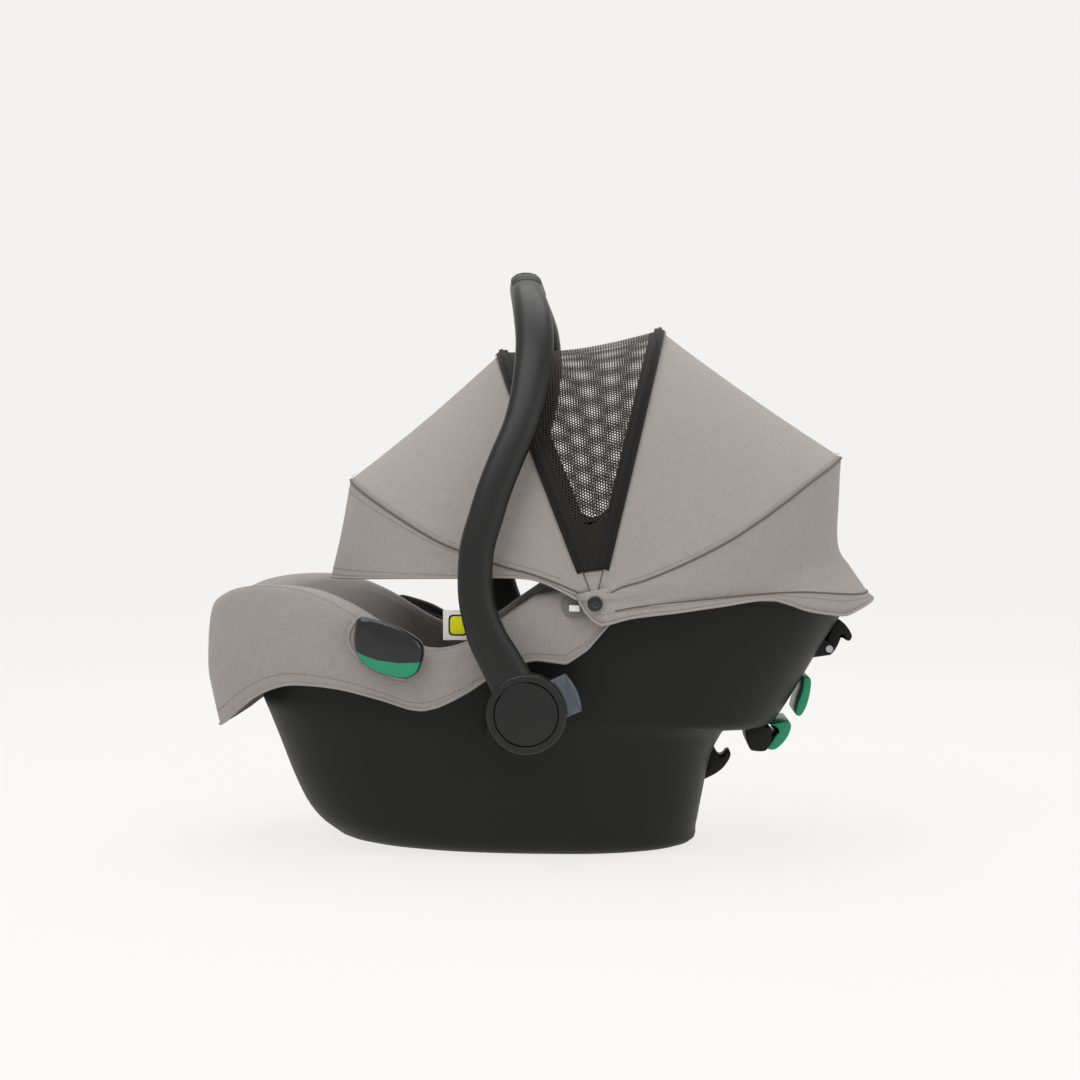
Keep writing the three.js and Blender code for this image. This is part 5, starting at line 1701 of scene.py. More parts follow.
# ------------------------------------------------------------------ handle
@dataclass
class Handle:
    """Swinging handle with its hubs, caps, grip and two release buttons."""

    pivot_height: float = 149.0
    reach: float = 401.0
    arm_centre: float = 207.0
    power: float = 2.7
    hub_radius: float = 36.5
    hub_inner: float = 188.0
    hub_outer: float = 217.5
    recess_radius: float = 29.5
    recess_floor: float = 212.5
    cap_radius: float = 28.6
    button_angle: float = math.radians(24)

    def __post_init__(self) -> None:
        """Makes the sway of the arms."""
        self.sway = through(
            [(0, 0), (44, -22), (70, -36), (99, -45), (122, -47), (151, -45), (180, -37), (203, -30), (232, -19)]
            + [(261, -7), (288, 0), (317, 4), (341, 5), (369, 1.5), (401, -8)]
        )

    def _path(self, count: int) -> Points:
        """Middle of the tube from the right hub over the grip to the left hub."""
        angle = np.linspace(0, math.pi, 1441)
        up = power(np.sin(angle), 2 / self.power)
        y = self.arm_centre * power(np.cos(angle), 2 / self.power)
        return evened(np.column_stack([self.sway(self.reach * up), y, self.pivot_height + self.reach * up]), count)

    def _size(self, height: float) -> tuple[float, float]:
        """Half width and half thickness of the tube at a height."""
        up = (height - self.pivot_height) / self.reach
        low = 21 + (16 - 21) * ease(up, 0, 0.3)
        width = low + (18 - low) * ease(up, 0.6, 0.85) - 2.5 * ease(up, 0.9, 1)
        return float(width), float(9.5 + 3.5 * ease(up, 0.7, 1))

    def build(self, finishes: Finishes, rows: RowTree) -> None:
        """Builds and dresses the handle."""
        path = self._path(241)[5:-5]
        turn = turns(44)

        def section(share: float) -> Points:
            """Rounded section, with a hairline mould line on each side."""
            width, thickness = self._size(path[round(share * (len(path) - 1))][2])
            shape = np.column_stack([width * power(np.cos(turn), 0.85), thickness * power(np.sin(turn), 0.85)])
            shape[[0, 22]] *= 0.992
            return shape

        skin = Skin().sweep(path, section, np.array([1.0, 0, 0]))
        for side in (-1, 1):
            skin.lathe(self._hub_profile(), (0, self.pivot_height), side, 128)
        handle = skin.made("handle_body", 35)
        dressed(handle, finishes.satin, "handle", node="handle")
        self._grip(finishes, rows)
        for name, side in SIDES:
            cap = Skin().lathe(self._cap_profile(), (0, self.pivot_height), side, 128).made(f"hub_cap_disc_{name}", 35)
            dressed(cap, finishes.satin, "handle", node=f"hub_cap_{name}")
            self._button(name, side, finishes)
            coat(f"pivot_bolt_{name}", finishes.steel)
            coat(f"button_spring_{name}", finishes.steel)

    def _hub_profile(self) -> list[tuple[float, float]]:
        """Outline of the hub: a cup with rounded rims."""
        r, low, high = self.hub_radius, self.hub_inner, self.hub_outer
        rim = [(r - 3.0 * (1 - math.cos(t)), high - 3.0 * (1 - math.sin(t))) for t in np.linspace(0, math.pi / 2, 7)]
        recess, floor = self.recess_radius, self.recess_floor
        quarter = np.linspace(0, math.pi / 2, 5)
        lip = [(recess + 1.2 * (1 - math.sin(t)), high - 1.2 * (1 - math.cos(t))) for t in quarter]
        return [(5.4, low), (r - 1, low), (r, low + 1), *rim, *lip, (recess, floor), (5.4, floor)]

    def _cap_profile(self) -> list[tuple[float, float]]:
        """Outline of the cap: a shallow dome with a rounded edge."""
        base, r = self.recess_floor + 0.4, self.cap_radius
        edge = [(r - 0.8 * (1 - math.cos(t)), base + 3.6 + 0.8 * math.sin(t)) for t in np.linspace(0, math.pi / 2, 5)]
        dome = [(r - 3, base + 4.5), (14, base + 4.9), (7, base + 5.0), (0.02, base + 5.1)]
        return [(0.02, base), (r, base), *edge, *dome]

    def _grip(self, finishes: Finishes, rows: RowTree) -> None:
        """Rubber pad let into the outer face of the grip."""
        path = self._path(901)
        keep = path[(np.abs(path[:, 1]) <= 72) & (path[:, 2] > self.pivot_height + 100)]
        keep = evened(keep, 90)
        tangents = np.gradient(keep, axis=0)
        tangents /= np.linalg.norm(tangents, axis=1, keepdims=True)
        faces = []
        for grow in (0.3, 1.9):
            sheet = []
            for k, (point, along) in enumerate(zip(keep, tangents)):
                side = np.array([1.0, 0, 0]) - along * along[0]
                side /= np.linalg.norm(side)
                out = np.cross(along, side)
                width, thickness = self._size(point[2])
                end = ease(min(k, 89 - k), 0, 4)
                grown = 0.3 + (grow - 0.3) * float(end)
                angle = math.pi * np.linspace(0.16, 0.84, 33)
                round_off = 1 - 0.75 * np.abs(np.linspace(-1, 1, 33)) ** 10
                add = 0.3 + (grown - 0.3) * round_off
                s, o = (width + add) * power(np.cos(angle), 0.85), (thickness + add) * power(np.sin(angle), 0.85)
                sheet.append(point + np.outer(s, side) + np.outer(o, out))
            faces.append(np.array(sheet))
        rings = [np.vstack([faces[1][k], faces[0][k][::-1]]) for k in range(len(keep))]
        grip = Skin().loft(rings).made("grip_pad", 50)
        dressed(grip, finishes.grip, "handle", node="handle_grip")
        ribs = [faces[1][k][8:25] for k in range(12, 78, 6)]
        rows.lay("grip_ribs", ribs, 0.9, (1.4, 1.6, 0.9), finishes.grip, "handle", "gloss")

    def _button(self, name: str, side: int, finishes: Finishes) -> None:
        """Thumb tab with a rounded end, a raised inner step and grip ridges."""
        c, s = math.cos(self.button_angle), math.sin(self.button_angle)
        half, tip = 18.5, 50

        def turned(points: Iterable[tuple[float, float]]) -> Points:
            """Points (x, z) turned about the pivot to the button's angle."""
            return np.array([(x * c - z * s, self.pivot_height + x * s + z * c) for x, z in points])

        def arc(reach: float, swing: Points) -> list[tuple[float, float]]:
            """Points on a circle about the pivot."""
            return [(reach * math.cos(t), reach * math.sin(t)) for t in swing]

        end = arc(tip, np.linspace(-1, 1, 25) * math.asin(half / tip))
        low, high = sorted((side * 194, side * 203))
        skin = Skin().plate(turned([(14, -half), (30, -half), *end, (30, half), (14, half)]), low, high, 1.4)
        low, high = sorted((side * 198, side * 204.4))
        skin.plate(turned([(34, -15), *arc(40, np.linspace(-0.38, 0.38, 15)), (34, 15)]), low, high, 0.7)
        for reach in (43.0, 45.2, 47.4):
            line = turned(arc(reach, np.linspace(-0.27, 0.27, 24)))
            skin.cord(np.column_stack([line[:, 0], np.full(len(line), side * 203.0), line[:, 1]]), 0.45, 8)
        piece = skin.made(f"thumb_tab_{name}", 40)
        dressed(piece, finishes.slate, f"release_button_{name}", node=f"release_button_{name}")


# ------------------------------------------------------------------ canopy
@dataclass
class Canopy:
    """Folding canopy: four bows, cloth panels, a net window between two zips, and a boot over the back."""

    pivot: tuple[float, float] = (62.0, 248.0)
    power: float = 2.3
    cloth_outer: float = 187.0
    to_outer: float = 1.6
    hem_front: tuple[float, float] = (-204, 262)
    front: tuple[float, float] = (-184.5, 363)
    second: tuple[float, float] = (-33, 489)
    dip: tuple[float, float] = (45, 496)
    third: tuple[float, float] = (124.5, 510.5)
    rear: tuple[float, float] = (304.5, 381)
    boot: tuple[tuple[float, float], ...] = ((303, 350), (302, 298), (314, 276), (331, 252), (336.5, 241))
    centre: Points = field(default_factory=lambda: np.array([60.0, 0.0, 300.0]))

    def __post_init__(self) -> None:
        """Makes the curves by which each line leaves its straight fold, from its pivot (0) to its crown (1)."""
        hem = [(0, 0), (0.05, 2), (0.123, 10.8), (0.174, 16.4), (0.226, 19.5), (0.33, 19.5), (0.47, 16.5)]
        front = [(0, 3), (0.12, 2.5), (0.226, 0), (0.35, -6), (0.522, -11.3), (0.617, -12.5), (0.8, -8), (1, -1)]
        rear = [(0, 2), (0.1, 1.5), (0.19, -3.8), (0.37, -9.5), (0.55, -10.7), (0.745, -4.9), (0.845, -0.6), (1, 3)]
        flare = [(0, -6), (0.065, -7), (0.126, -4.3), (0.234, -1.2), (0.456, 3.8), (0.625, 6), (0.74, 5.4), (0.93, 0)]
        foot = [(0, -16), (0.044, -19.5), (0.13, -12), (0.28, -5.7), (0.42, 0.4), (0.585, 7), (0.66, 2.7)]
        self.bends: dict[tuple[float, float], Curve] = {
            self.hem_front: through([*hem, (0.69, 12), (1, 4)]),
            self.front: through(front),
            self.rear: through(rear),
            self.boot[0]: self._slack(12),
            self.boot[1]: self._slack(13),
            self.boot[2]: self._slack(12),
            self.boot[3]: through([*flare, (1, -0.5)]),
            self.boot[4]: through([*foot, (0.72, -3), (0.81, -7.3), (0.87, -8.7), (0.92, -4), (1, 4)]),
        }

    @staticmethod
    def _slack(depth: float) -> Curve:
        """Curve of cloth that hangs in by a depth halfway up."""
        return through([(0, 0), (0.25, -0.75 * depth), (0.5, -depth), (0.75, -0.7 * depth), (1, 0)])

    def bend(self, tip: Sequence[float], t: Any) -> Points:
        """How far a line's points lie above its straight fold."""
        curve = self.bends.get(tuple(tip))
        s = power(np.sin(np.asarray(t, float)), 2 / self.power)
        return np.zeros(len(s)) if curve is None else curve(s)

    def angles(self, share: float, count: int) -> Points:
        """Arch angles from right to left, starting a share of the way out."""
        start = math.asin(share ** (self.power / 2))
        return np.linspace(start, math.pi - start, count)

    def fan(self, tip: Sequence[float], t: Any, w: float, grow: float, shift: float = 0.0) -> Points:
        """Points of one arch line over the seat.

        Args:
            tip: The line's place at the canopy's middle.
            t: Arch angles.
            w: Half width at the pivots.
            grow: How far outside the line, in millimetres.
            shift: How far round the pivot.

        Returns:
            One point for each angle.
        """
        t = np.asarray(t, float)
        dx, dz = tip[0] - self.pivot[0], tip[1] - self.pivot[1]
        length = math.hypot(dx, dz)
        s, c = power(np.sin(t), 2 / self.power), power(np.cos(t), 2 / self.power)
        r = (length + grow) / length * s
        nx, nz = -dz / length * shift, dx / length * shift
        return np.column_stack([self.pivot[0] + dx * r + nx, w * c, self.pivot[1] + dz * r + nz])

    def sheet_points(
        self,
        tips: Sequence[Sequence[float]],
        share: float,
        high: int,
        wide: int,
        seed: float,
        sag: float,
        rumple: float,
        smooth: bool = False,
    ) -> tuple[Points, Points]:
        """Grid of one panel, with its slack and its small creases.

        Args:
            tips: Middle points from its front edge to its back edge.
            share: How far out from the pivots it starts.
            high: Points over the arch.
            wide: Points across the panel.
            seed: Makes its creases its own.
            sag: How far it hangs in between its edges.
            rumple: Height of its creases.
            smooth: Whether it rounds the middle points instead of bending at them.

        Returns:
            The points (high, wide, 3) and their place on the cloth, in millimetres.
        """
        t = self.angles(share, high)
        tips = np.array([[*tip, *self.bend(tip, t)] for tip in tips], float)
        if smooth:
            rows = softened(tips, 10)
        else:
            shares = np.linspace(0, 1, 11)[:-1]
            rows = np.vstack([a + (b - a) * u for a, b in zip(tips, tips[1:]) for u in shares] + [tips[-1]])
        far = distances(rows[:, :2])
        places = np.linspace(0, far[-1], wide)
        fine = np.column_stack([np.interp(places, far, rows[:, k]) for k in range(rows.shape[1])])
        lines = [self.fan(tip, t, self.cloth_outer, -self.to_outer) + np.outer(tip[2:], (0, 0, 1)) for tip in fine]
        grid = np.stack(lines, axis=1)
        v = np.linspace(0, 1, wide)
        radial = grid - np.array([self.pivot[0], 0, self.pivot[1]])
        radial[:, :, 1] *= 0.35
        radial /= np.maximum(np.linalg.norm(radial, axis=2, keepdims=True), 1e-6)
        reach = np.sin(t)[:, None]
        hang = 4 * v * (1 - v) * sag * np.minimum(1, reach * 1.4)
        creases = np.zeros(grid.shape[:2])
        for i in range(high):
            near = 0.45 + 1.3 * (1 - min(1.0, float(reach[i, 0]) * 1.15)) ** 2
            for j in range(wide):
                p = grid[i, j]
                wave = crumple((v[j] * 90, t[i] * 130, seed), 30, seed) + 0.45 * crumple(p, 17, seed + 5)
                creases[i, j] = wave * near
        edge = np.minimum(1, np.minimum(v, 1 - v) * 9)
        grid = grid - radial * (hang - creases * edge * rumple)[:, :, None]
        over = distances(grid[:, wide // 2])
        if smooth:
            widths = far[-1] * np.minimum(1, np.sin(t) + 0.05)
        else:
            widths = np.linalg.norm(grid[:, -1] - grid[:, 0], axis=1)
        uv = np.stack([np.broadcast_to(over[:, None], grid.shape[:2]), (v[None, :] - 0.5) * widths[:, None]], axis=2)
        return grid, uv

    def _declare(self, grid: Points) -> None:
        """Works out how big a panel's flat cut is; the number is not kept."""
        a, b, c, d = grid[:-1, :-1], grid[1:, :-1], grid[1:, 1:], grid[:-1, 1:]
        halves = (np.linalg.norm(np.cross(side, c - a), axis=2) for side in (b - a, d - a))
        area = 0.5 * sum(half.sum() for half in halves)

    def _line(self, tip: Sequence[float], share: float, out: float, shift: float = 0.0, count: int = 160) -> Points:
        """A seam's path over the arch, out millimetres proud of the cloth."""
        t = self.angles(share, count)
        path = self.fan(tip, t, self.cloth_outer + out, -self.to_outer + out, shift)
        return evened(path + np.outer(self.bend(tip, t), (0, 0, 1)), count)

    def build(self, finishes: Finishes, stitches: RowTree, teeth: RowTree, nets: NetTree) -> None:
        """Builds and dresses the canopy."""
        self._visor(finishes, stitches)
        front, rear = (self.second, self.front), (self.rear, self.third)
        self._panel("front_panel", front, ("second_bow", "front_bow"), 3.0, finishes)
        self._panel("rear_panel", rear, ("seat", "third_bow"), 6.0, finishes)
        self._boot(finishes, stitches)
        self._window(finishes, nets)
        self._patches(finishes, stitches)
        self._zips(finishes, teeth)
        self._seams(finishes, stitches)
        self._hardware(finishes)

    def _panel(
        self,
        node: str,
        tips: Sequence[Sequence[float]],
        bodies: tuple[str, str],
        seed: float,
        finishes: Finishes,
    ) -> None:
        """Plain cloth panel between two bows."""
        grid, uv = self.sheet_points(tips, 0.05, 150, 34, seed, 2.4, 0.9)
        piece = facing_out(Skin().grid(grid, uv).made(f"{node}_cloth", 80), self.centre)
        thickened(piece, CLOTH)
        spanned(piece, finishes.canopy, bodies, node=node)
        self._declare(grid)

    def _visor(self, finishes: Finishes, stitches: RowTree) -> None:
        """Front flap, from its hem up to the front bow."""
        grid, uv = self.sheet_points((self.hem_front, self.front), 0.05, 150, 22, 1.0, 1.2, 1.1)
        piece = facing_out(Skin().grid(grid, uv).made("visor_cloth", 80), self.centre)
        thickened(piece, CLOTH)
        dressed(piece, finishes.canopy, "front_bow", node="visor")
        self._declare(grid)
        hem = grid[:, 0] + (grid[:, 0] - grid[:, 1]) * 0.05
        piped("visor_hem", evened(hem, 220), 1.25, finishes.canopy, "front_bow")
        out = self._proud(grid)
        rows = [out[:, 2], out[:, -3]]
        stitches.lay("visor_stitching", rows, STITCH_PITCH, STITCH, finishes.thread, "front_bow", "fabric")

    def _proud(self, grid: Points) -> Points:
        """A panel's points lifted a hair off its face."""
        a, b = np.gradient(grid, axis=0), np.gradient(grid, axis=1)
        n = np.cross(a, b)
        n /= np.maximum(np.linalg.norm(n, axis=2, keepdims=True), 1e-9)
        away = np.sum(n * (grid - self.centre), axis=2, keepdims=True)
        return grid + n * np.where(away < 0, -1, 1) * 0.25

    def _boot(self, finishes: Finishes, stitches: RowTree) -> None:
        """Cloth over the head end, with its flared lower edge."""
        grid, uv = self.sheet_points((self.rear, *self.boot), 0.05, 150, 46, 8.0, 0.0, 1.2, True)
        self._lobes(grid)
        piece = facing_out(Skin().grid(grid, uv).made("boot_cloth", 80), self.centre)
        thickened(piece, CLOTH)
        dressed(piece, finishes.canopy, "seat", node="canopy_boot")
        self._declare(grid)
        hem = evened(np.vstack([grid[0, 14:-1], grid[:, -1], grid[-1, -2:13:-1]]), 260)
        piped("boot_hem", hem, 1.3, finishes.canopy, "seat")
        out = self._proud(grid)
        # Thin cord along the flare seam, coloured dark to paint the seam's shadow line.
        flare = self._line(self.boot[3], 0.067, 0.3, 0.0, 220)
        piped("boot_flare_shadow_piping", flare, 0.8, finishes.seam, "seat", sides=8)
        stitches.lay("boot_stitching", [out[:, -3]], STITCH_PITCH, STITCH, finishes.thread, "seat", "fabric")

    def _lobes(self, grid: Points) -> None:
        """Draws the two lower corners of the boot forward into rounded lobes over the mounts."""
        rise = np.linalg.norm(grid[:, 0][:, [0, 2]] - np.array(self.pivot), axis=1)
        weight = np.clip((54 - rise) / 42, 0, 1) ** 1.6
        middle = len(grid) // 2
        for row, half in ((grid[0], slice(0, middle)), (grid[-1], slice(middle, None))):
            edge = np.interp(row[:, 2], [227, 228.6, 232.7, 240.1, 248.3, 254], [71, 66.4, 58.2, 50.8, 45.3, 41.6])
            outwards = math.copysign(1.3, row[0, 1])
            grid[half, :, 0] += np.outer(weight[half], edge - row[:, 0])
            grid[half, :, 1] += weight[half, None] * outwards

    def _window(self, finishes: Finishes, nets: NetTree) -> None:
        """Net window with a solid border along both zips and a close-woven foot."""
        tips = (self.third, self.dip, self.second)
        start, high, wide = 0.115, 181, 25
        grid, uv = self.sheet_points(tips, start, high, wide, 5.0, 3.0, 0.25, True)
        widths = np.linalg.norm(np.diff(grid, axis=1), axis=2).sum(axis=1)
        along = distances(grid[:, wide // 2])
        out = power(np.sin(self.angles(start, high)), 2 / self.power)
        edges = (10.0 + 0 * out, 12.0 + 40.0 * ease(out, 0.66, 1.0))
        foot = 0.31
        flat = nets.flat("window_net", along[-1], widths.max() + 12, 3.0, 0.6, finishes.net)
        points = positions(flat) / MM
        u = points[:, 0] + along[-1] / 2
        wide_at, out_at = np.interp(u, along, widths), np.interp(u, along, out)
        low_edge, high_edge = (np.interp(u, along, edge) for edge in edges)
        over = points[:, 1] + wide_at / 2
        inside = (over > low_edge - 1) & (over < wide_at - high_edge + 1) & (out_at > foot - 0.01)
        share = np.clip(points[:, 1] / np.maximum(wide_at, 1) + 0.5, 0, 1)
        row = np.clip(np.interp(u, along, np.arange(high)), 0, high - 1.001)
        column = np.clip(share * (wide - 1), 0, wide - 1.001)
        i, j = row.astype(int), column.astype(int)
        fr, fc = (row - i)[:, None], (column - j)[:, None]
        before = grid[i, j] * (1 - fr) + grid[i + 1, j] * fr
        after = grid[i, j + 1] * (1 - fr) + grid[i + 1, j + 1] * fr
        set_positions(flat, (before * (1 - fc) + after * fc) * MM)
        work = bmesh.new()
        work.from_mesh(flat.data)
        loose = [f for f in work.faces if not all(inside[v.index] for v in f.verts)]
        bmesh.ops.delete(work, geom=loose, context="FACES")
        bmesh.ops.recalc_face_normals(work, faces=work.faces)
        work.to_mesh(flat.data)
        work.free()
        facing_out(flat, self.centre)
        flat.data.shade_smooth()
        spanned(flat, finishes.net, ("third_bow", "second_bow"), node="window_mesh")
        LOG.info("window_net: net over %.0f x %.0f mm", along[-1], widths.max())
        self._declare_open(flat, sum(p.area for p in flat.data.polygons), along[-1])
        self._window_border(grid, uv, widths, along, edges, out > foot, finishes)

    @staticmethod
    def _declare_open(piece: bpy.types.Object, area: float, length: float) -> None:
        """Says how big a flat cut holds the cloth of a sheet that covers its outline in part.

        Args:
            piece: The net or the frame round it.
            area: Its cloth in square metres.
            length: Its length over the arch in millimetres.
        """
        width = area / (length * SQUARE_MM) / 0.8
        flat = (width * MM, length * MM)
        LOG.info("%s: cut %.0f x %.0f mm, %.0f cm2", piece.name, width, length, area * 1e4)

    def _window_border(
        self,
        grid: Points,
        uv: Points,
        widths: Points,
        along: Points,
        edges: tuple[Points, Points],
        open_row: Points,
        finishes: Finishes,
    ) -> None:
        """Solid cloth round the net, wider beside the grip.

        Args:
            grid: The window's points.
            uv: Their place on the cloth.
            widths: The window's width in each row.
            along: How far over the arch each row lies.
            edges: The border's width in each row, beside each zip.
            open_row: Whether there is net in a row.
            finishes: Every finish.
        """
        skin = Skin()
        count, last = grid.shape[0], grid.shape[1] - 1
        fine = np.linspace(0, 1, 9)
        for from_low in (True, False):
            rows, cloth = [], []
            for i in range(count):
                edge = edges[0 if from_low else 1][i]
                reach = edge / widths[i] if open_row[i] and edges[0][i] + edges[1][i] < widths[i] else 0.5
                share = fine * reach if from_low else 1 - reach + fine * reach
                c = share * last
                j = np.minimum(c.astype(int), last - 1)
                f = (c - j)[:, None]
                rows.append(grid[i, j] * (1 - f) + grid[i, j + 1] * f)
                cloth.append(uv[i, j] * (1 - f) + uv[i, j + 1] * f)
            skin.grid(np.array(rows), np.array(cloth))
        piece = facing_out(skin.made("window_border", 80), self.centre)
        thickened(piece, 0.9)
        spanned(piece, finishes.tape, ("third_bow", "second_bow"))
        self._declare_open(piece, sum(p.area for p in piece.data.polygons) / 2, float(along[-1]))

    def _patches(self, finishes: Finishes, stitches: RowTree) -> None:
        """Cloth gusset at the foot of the window on each side."""
        start, end = (math.asin(share ** (self.power / 2)) for share in (0.012, 0.118))
        for name, side in SIDES:
            t = np.linspace(start, end, 16)
            t = math.pi - t if side < 0 else t
            lines = []
            for v in np.linspace(0, 1, 10):
                tip = np.array(self.second) * (1 - v) + np.array(self.third) * v
                lines.append(self.fan(tip, t, self.cloth_outer, -self.to_outer))
            grid = np.stack(lines, axis=1)
            flat = np.stack([grid[:, :, 0], grid[:, :, 2]], axis=2)
            piece = facing_out(Skin().grid(grid, flat).made(f"gusset_cloth_{name}", 80), self.centre)
            thickened(piece, CLOTH)
            dressed(piece, finishes.canopy, "third_bow", node=f"canopy_patch_{name}")
            self._declare(grid)
            out = self._proud(grid)
            seam = f"gusset_stitching_{name}"
            stitches.lay(seam, [out[-3]], 3.0, (2.2, 0.5, 0.5), finishes.thread, "third_bow", "fabric")
            # Thin cords along the gusset's edges, coloured dark to paint the shadow lines of its seams.
            cords = Skin()
            for edge in (out[:, 0], out[:, -1], out[-1]):
                cords.cord(edge, 0.5, 8)
            dressed(cords.made(f"gusset_seam_shadow_{name}"), finishes.seam, "third_bow")

    def _zips(self, finishes: Finishes, teeth: RowTree) -> None:
        """Zip tape and coil over the second and third bows."""
        for name, tip, body in (("zip_front", self.second, "second_bow"), ("zip_rear", self.third, "third_bow")):
            t = self.angles(0.12, 200)
            half = 5.4
            lines = []
            for e in np.linspace(-1, 1, 9):
                crown = 1.0 - 0.8 * abs(e) ** 3
                lines.append(self.fan(tip, t, self.cloth_outer + 0.2 + crown, -1.0 + crown, e * half))
            grid = np.stack(lines, axis=1)
            far = distances(grid[:, 4])
            across = np.linspace(-half, half, 9)
            uv = np.stack([np.broadcast_to(way, grid.shape[:2]) for way in (far[:, None], across)], axis=2)
            tape = facing_out(Skin().grid(grid, uv).made(f"{name}_tape", 80), self.centre)
            thickened(tape, 0.8)
            dressed(tape, finishes.tape, body, node=name)
            self._declare(grid)
            coil = [self._line(tip, 0.12, 3.0, shift, 260) for shift in (-0.9, 0.9)]
            teeth.lay(f"{name}_coil", coil, 1.5, (1.1, 1.9, 1.0), finishes.gloss, body, "mesh")

    def _seams(self, finishes: Finishes, stitches: RowTree) -> None:
        """Dark cords along the front and rear bows that paint the shadow lines of their seams, and stitches beside
        every bow.
        """
        for name, tip, body in (("front_shadow_piping", self.front, "front_bow"), ("rear_shadow_piping", self.rear, "seat")):
            # The seam cord's dark colour paints the shadow line along each bow's seam.
            piped(name, self._line(tip, 0.06, 0.2, 0.0, 220), 0.85, finishes.seam, body)
        for name, tip, body, shift in [
            ("front_bow_stitching", self.front, "front_bow", -5.0),
            ("second_bow_stitching", self.second, "second_bow", 6.6),
            ("third_bow_stitching", self.third, "third_bow", -6.6),
            ("rear_bow_stitching", self.rear, "seat", 4.5),
        ]:
            lines = [self._line(tip, 0.14, 0.1, shift, 200)]
            stitches.lay(name, lines, STITCH_PITCH, STITCH, finishes.thread, body, "fabric")

    def _hardware(self, finishes: Finishes) -> None:
        """Bows, mounts, snaps and clips."""
        for node in ("second_bow", "third_bow"):
            coat(node, finishes.satin)
        for node, tip, body in (("front_bow", self.front, "front_bow"), ("rear_bow", self.rear, "seat")):
            bow = refined(node, 0.3)
            at = positions(bow)
            reach = np.linalg.norm(np.array(tip) - self.pivot)
            share = np.clip(np.linalg.norm(at[:, [0, 2]] / MM - self.pivot, axis=1) / reach, 0, 1)
            at[:, 2] += (self.bends[tip](share) - 0.8 * np.minimum(1, 4 * share)) * MM
            set_positions(bow, at)
            dressed(bow, finishes.satin, body)
        for name, side in SIDES:
            dressed(refined(f"canopy_mount_{name}", 0.5), finishes.mount, "seat")
            dressed(refined(f"canopy_clip_{name}", 0.9), finishes.white, "seat")
            base = self.cloth_outer + 1.9
            quarter = np.linspace(0, math.pi / 2, 6)
            dome = [(7.0 - 1.2 * (1 - math.cos(a)), base + 1.6 + 1.2 * math.sin(a)) for a in quarter]
            stem = [(0.02, 160.5), (3.4, 160.5), (3.4, base), (7.0, base)]
            dimple = [(3.2, base + 3.0), (2.6, base + 2.5), (0.02, base + 2.5)]
            snap = Skin().lathe([*stem, *dome, *dimple], self.pivot, side, 64).made(f"snap_{name}", 40)
            dressed(snap, finishes.gloss, "seat", node=f"canopy_pin_{name}")


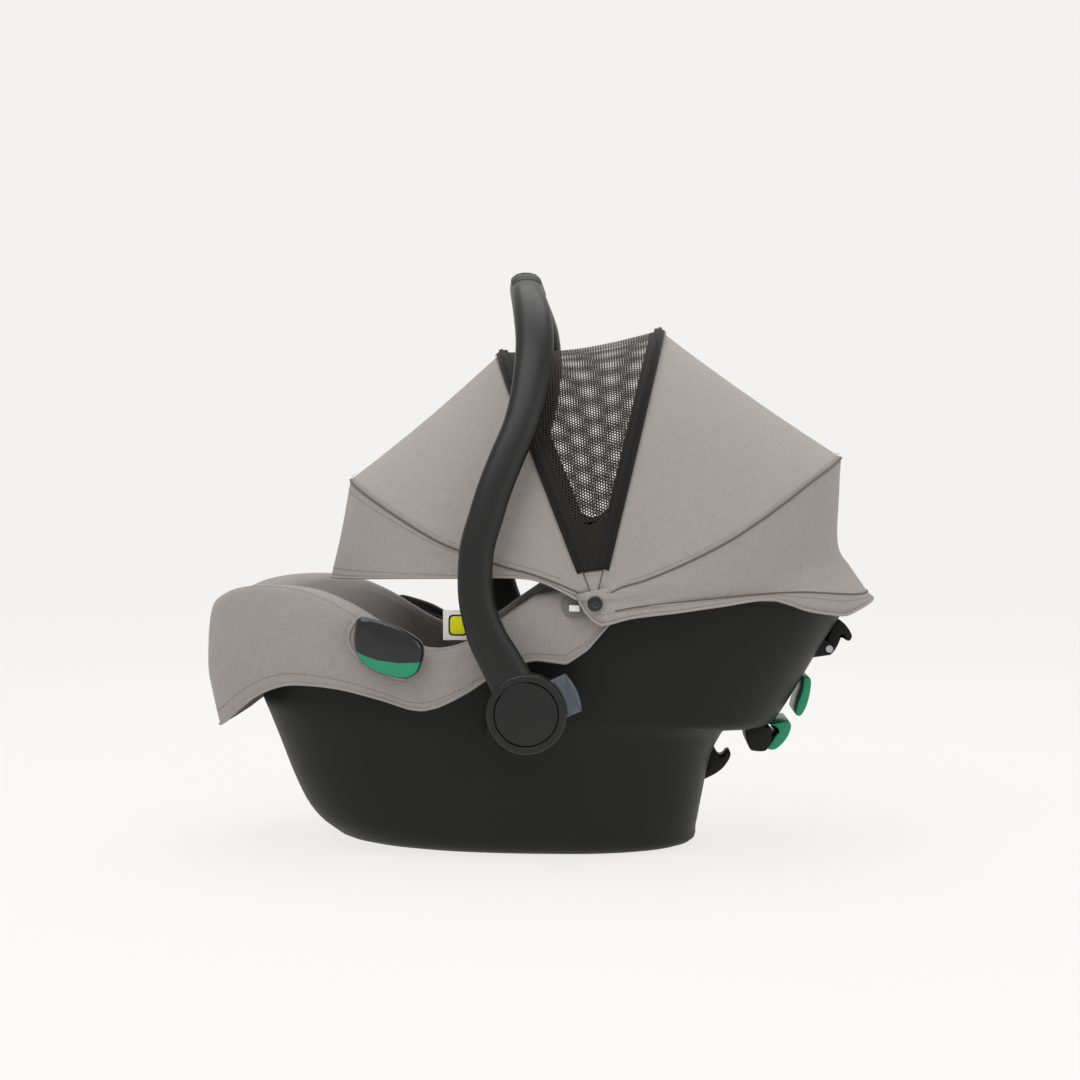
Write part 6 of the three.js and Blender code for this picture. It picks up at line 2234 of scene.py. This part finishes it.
# ------------------------------------------------------------------ studio
@dataclass
class Studio:
    """Pale floor and sweep, soft light and the camera."""

    target: tuple[float, float, float] = (0.005, 0.0, 0.3007)
    distance: float = 2.2
    azimuth: float = math.radians(2.0)
    elevation: float = math.radians(1.72)
    lens: float = 73.3

    def build(self) -> None:
        """Builds the whole studio."""
        self._camera()
        self._sweep()
        self._world()
        self._lamp("key", (-0.7, -1.5, 2.3), (0.05, 0, 0.25), 1.7, 24)
        self._lamp("fill", (1.6, -1.7, 1.2), (0.0, 0, 0.25), 1.6, 8)
        self._lamp("top", (0.1, 0.5, 2.6), (0.0, 0, 0.2), 2.0, 26)
        view = bpy.context.scene.view_settings
        view.view_transform = "Standard"
        view.look = "None"

    def _camera(self) -> None:
        """Camera at the seat's side, a little above its middle."""
        data = bpy.data.cameras.new("camera")
        data.lens, data.sensor_width = self.lens, 36
        camera = bpy.data.objects.new("camera", data)
        bpy.context.scene.collection.objects.link(camera)
        back = Vector(
            (
                math.sin(self.azimuth) * math.cos(self.elevation),
                -math.cos(self.azimuth) * math.cos(self.elevation),
                math.sin(self.elevation),
            )
        )
        camera.location = Vector(self.target) + back * self.distance
        camera.rotation_euler = (-back).to_track_quat("-Z", "Y").to_euler()
        bpy.context.scene.camera = camera

    def _sweep(self) -> None:
        """Floor that turns up into a wall far behind."""
        profile = [(-9, 0.0), (5.0, 0.0)] + [
            (5.0 + 3.0 * math.sin(a), 3.0 * (1 - math.cos(a))) for a in np.linspace(0, math.pi / 2, 24)[1:]
        ] + [(8.0, 9.0)]
        rows = np.array([[(x, y, z) for y, z in profile] for x in (-9.0, 9.0)])
        floor = Skin().grid(rows / MM).made("studio_floor", 80)
        if floor.data.polygons[0].normal.z < 0:
            floor.data.flip_normals()
        bench = Bench("studio_paper")
        soft = bench.speckle(bench.place(False, (3, 3, 3)), 2.0)
        colour = bench.mixed(soft, tint(0x646362), tint(0x666564))
        constants = {"Specular IOR Level": 0.0, "Roughness": 1.0}
        constants |= {"Emission Color": tint(0xF6F5F3), "Emission Strength": 0.86}
        floor.data.materials.append(bench.finished(constants, {"Base Color": colour}))

    def _world(self) -> None:
        """Even pale surroundings."""
        world = bpy.data.worlds.new("studio")
        world.use_nodes = True
        back = world.node_tree.nodes["Background"]
        back.inputs["Color"].default_value = (0.97, 0.965, 0.955, 1)
        back.inputs["Strength"].default_value = 0.72
        bpy.context.scene.world = world

    def _lamp(self, name: str, at: Sequence[float], towards: Sequence[float], size: float, watts: float) -> None:
        """Square soft lamp."""
        data = bpy.data.lights.new(name, "AREA")
        data.size, data.energy = size, watts
        lamp = bpy.data.objects.new(name, data)
        lamp.location = at
        lamp.rotation_euler = (Vector(towards) - Vector(at)).to_track_quat("-Z", "Y").to_euler()
        bpy.context.scene.collection.objects.link(lamp)


def main() -> None:
    """Builds every sub-assembly in order."""
    logging.basicConfig(level=logging.INFO, format="%(message)s")
    finishes = Finishes()
    stitches, teeth, nets = RowTree(RowShape.STITCH), RowTree(RowShape.TOOTH), NetTree()
    plan = SeatPlan()
    Studio().build()
    Tub(plan).build(finishes)
    Upholstery(plan).build(finishes, stitches)
    Harness(plan).build(finishes, stitches)
    BeltGuides().build(finishes)
    Handle().build(finishes, teeth)
    Canopy().build(finishes, stitches, teeth, nets)


if __name__ == "__main__":
    main()
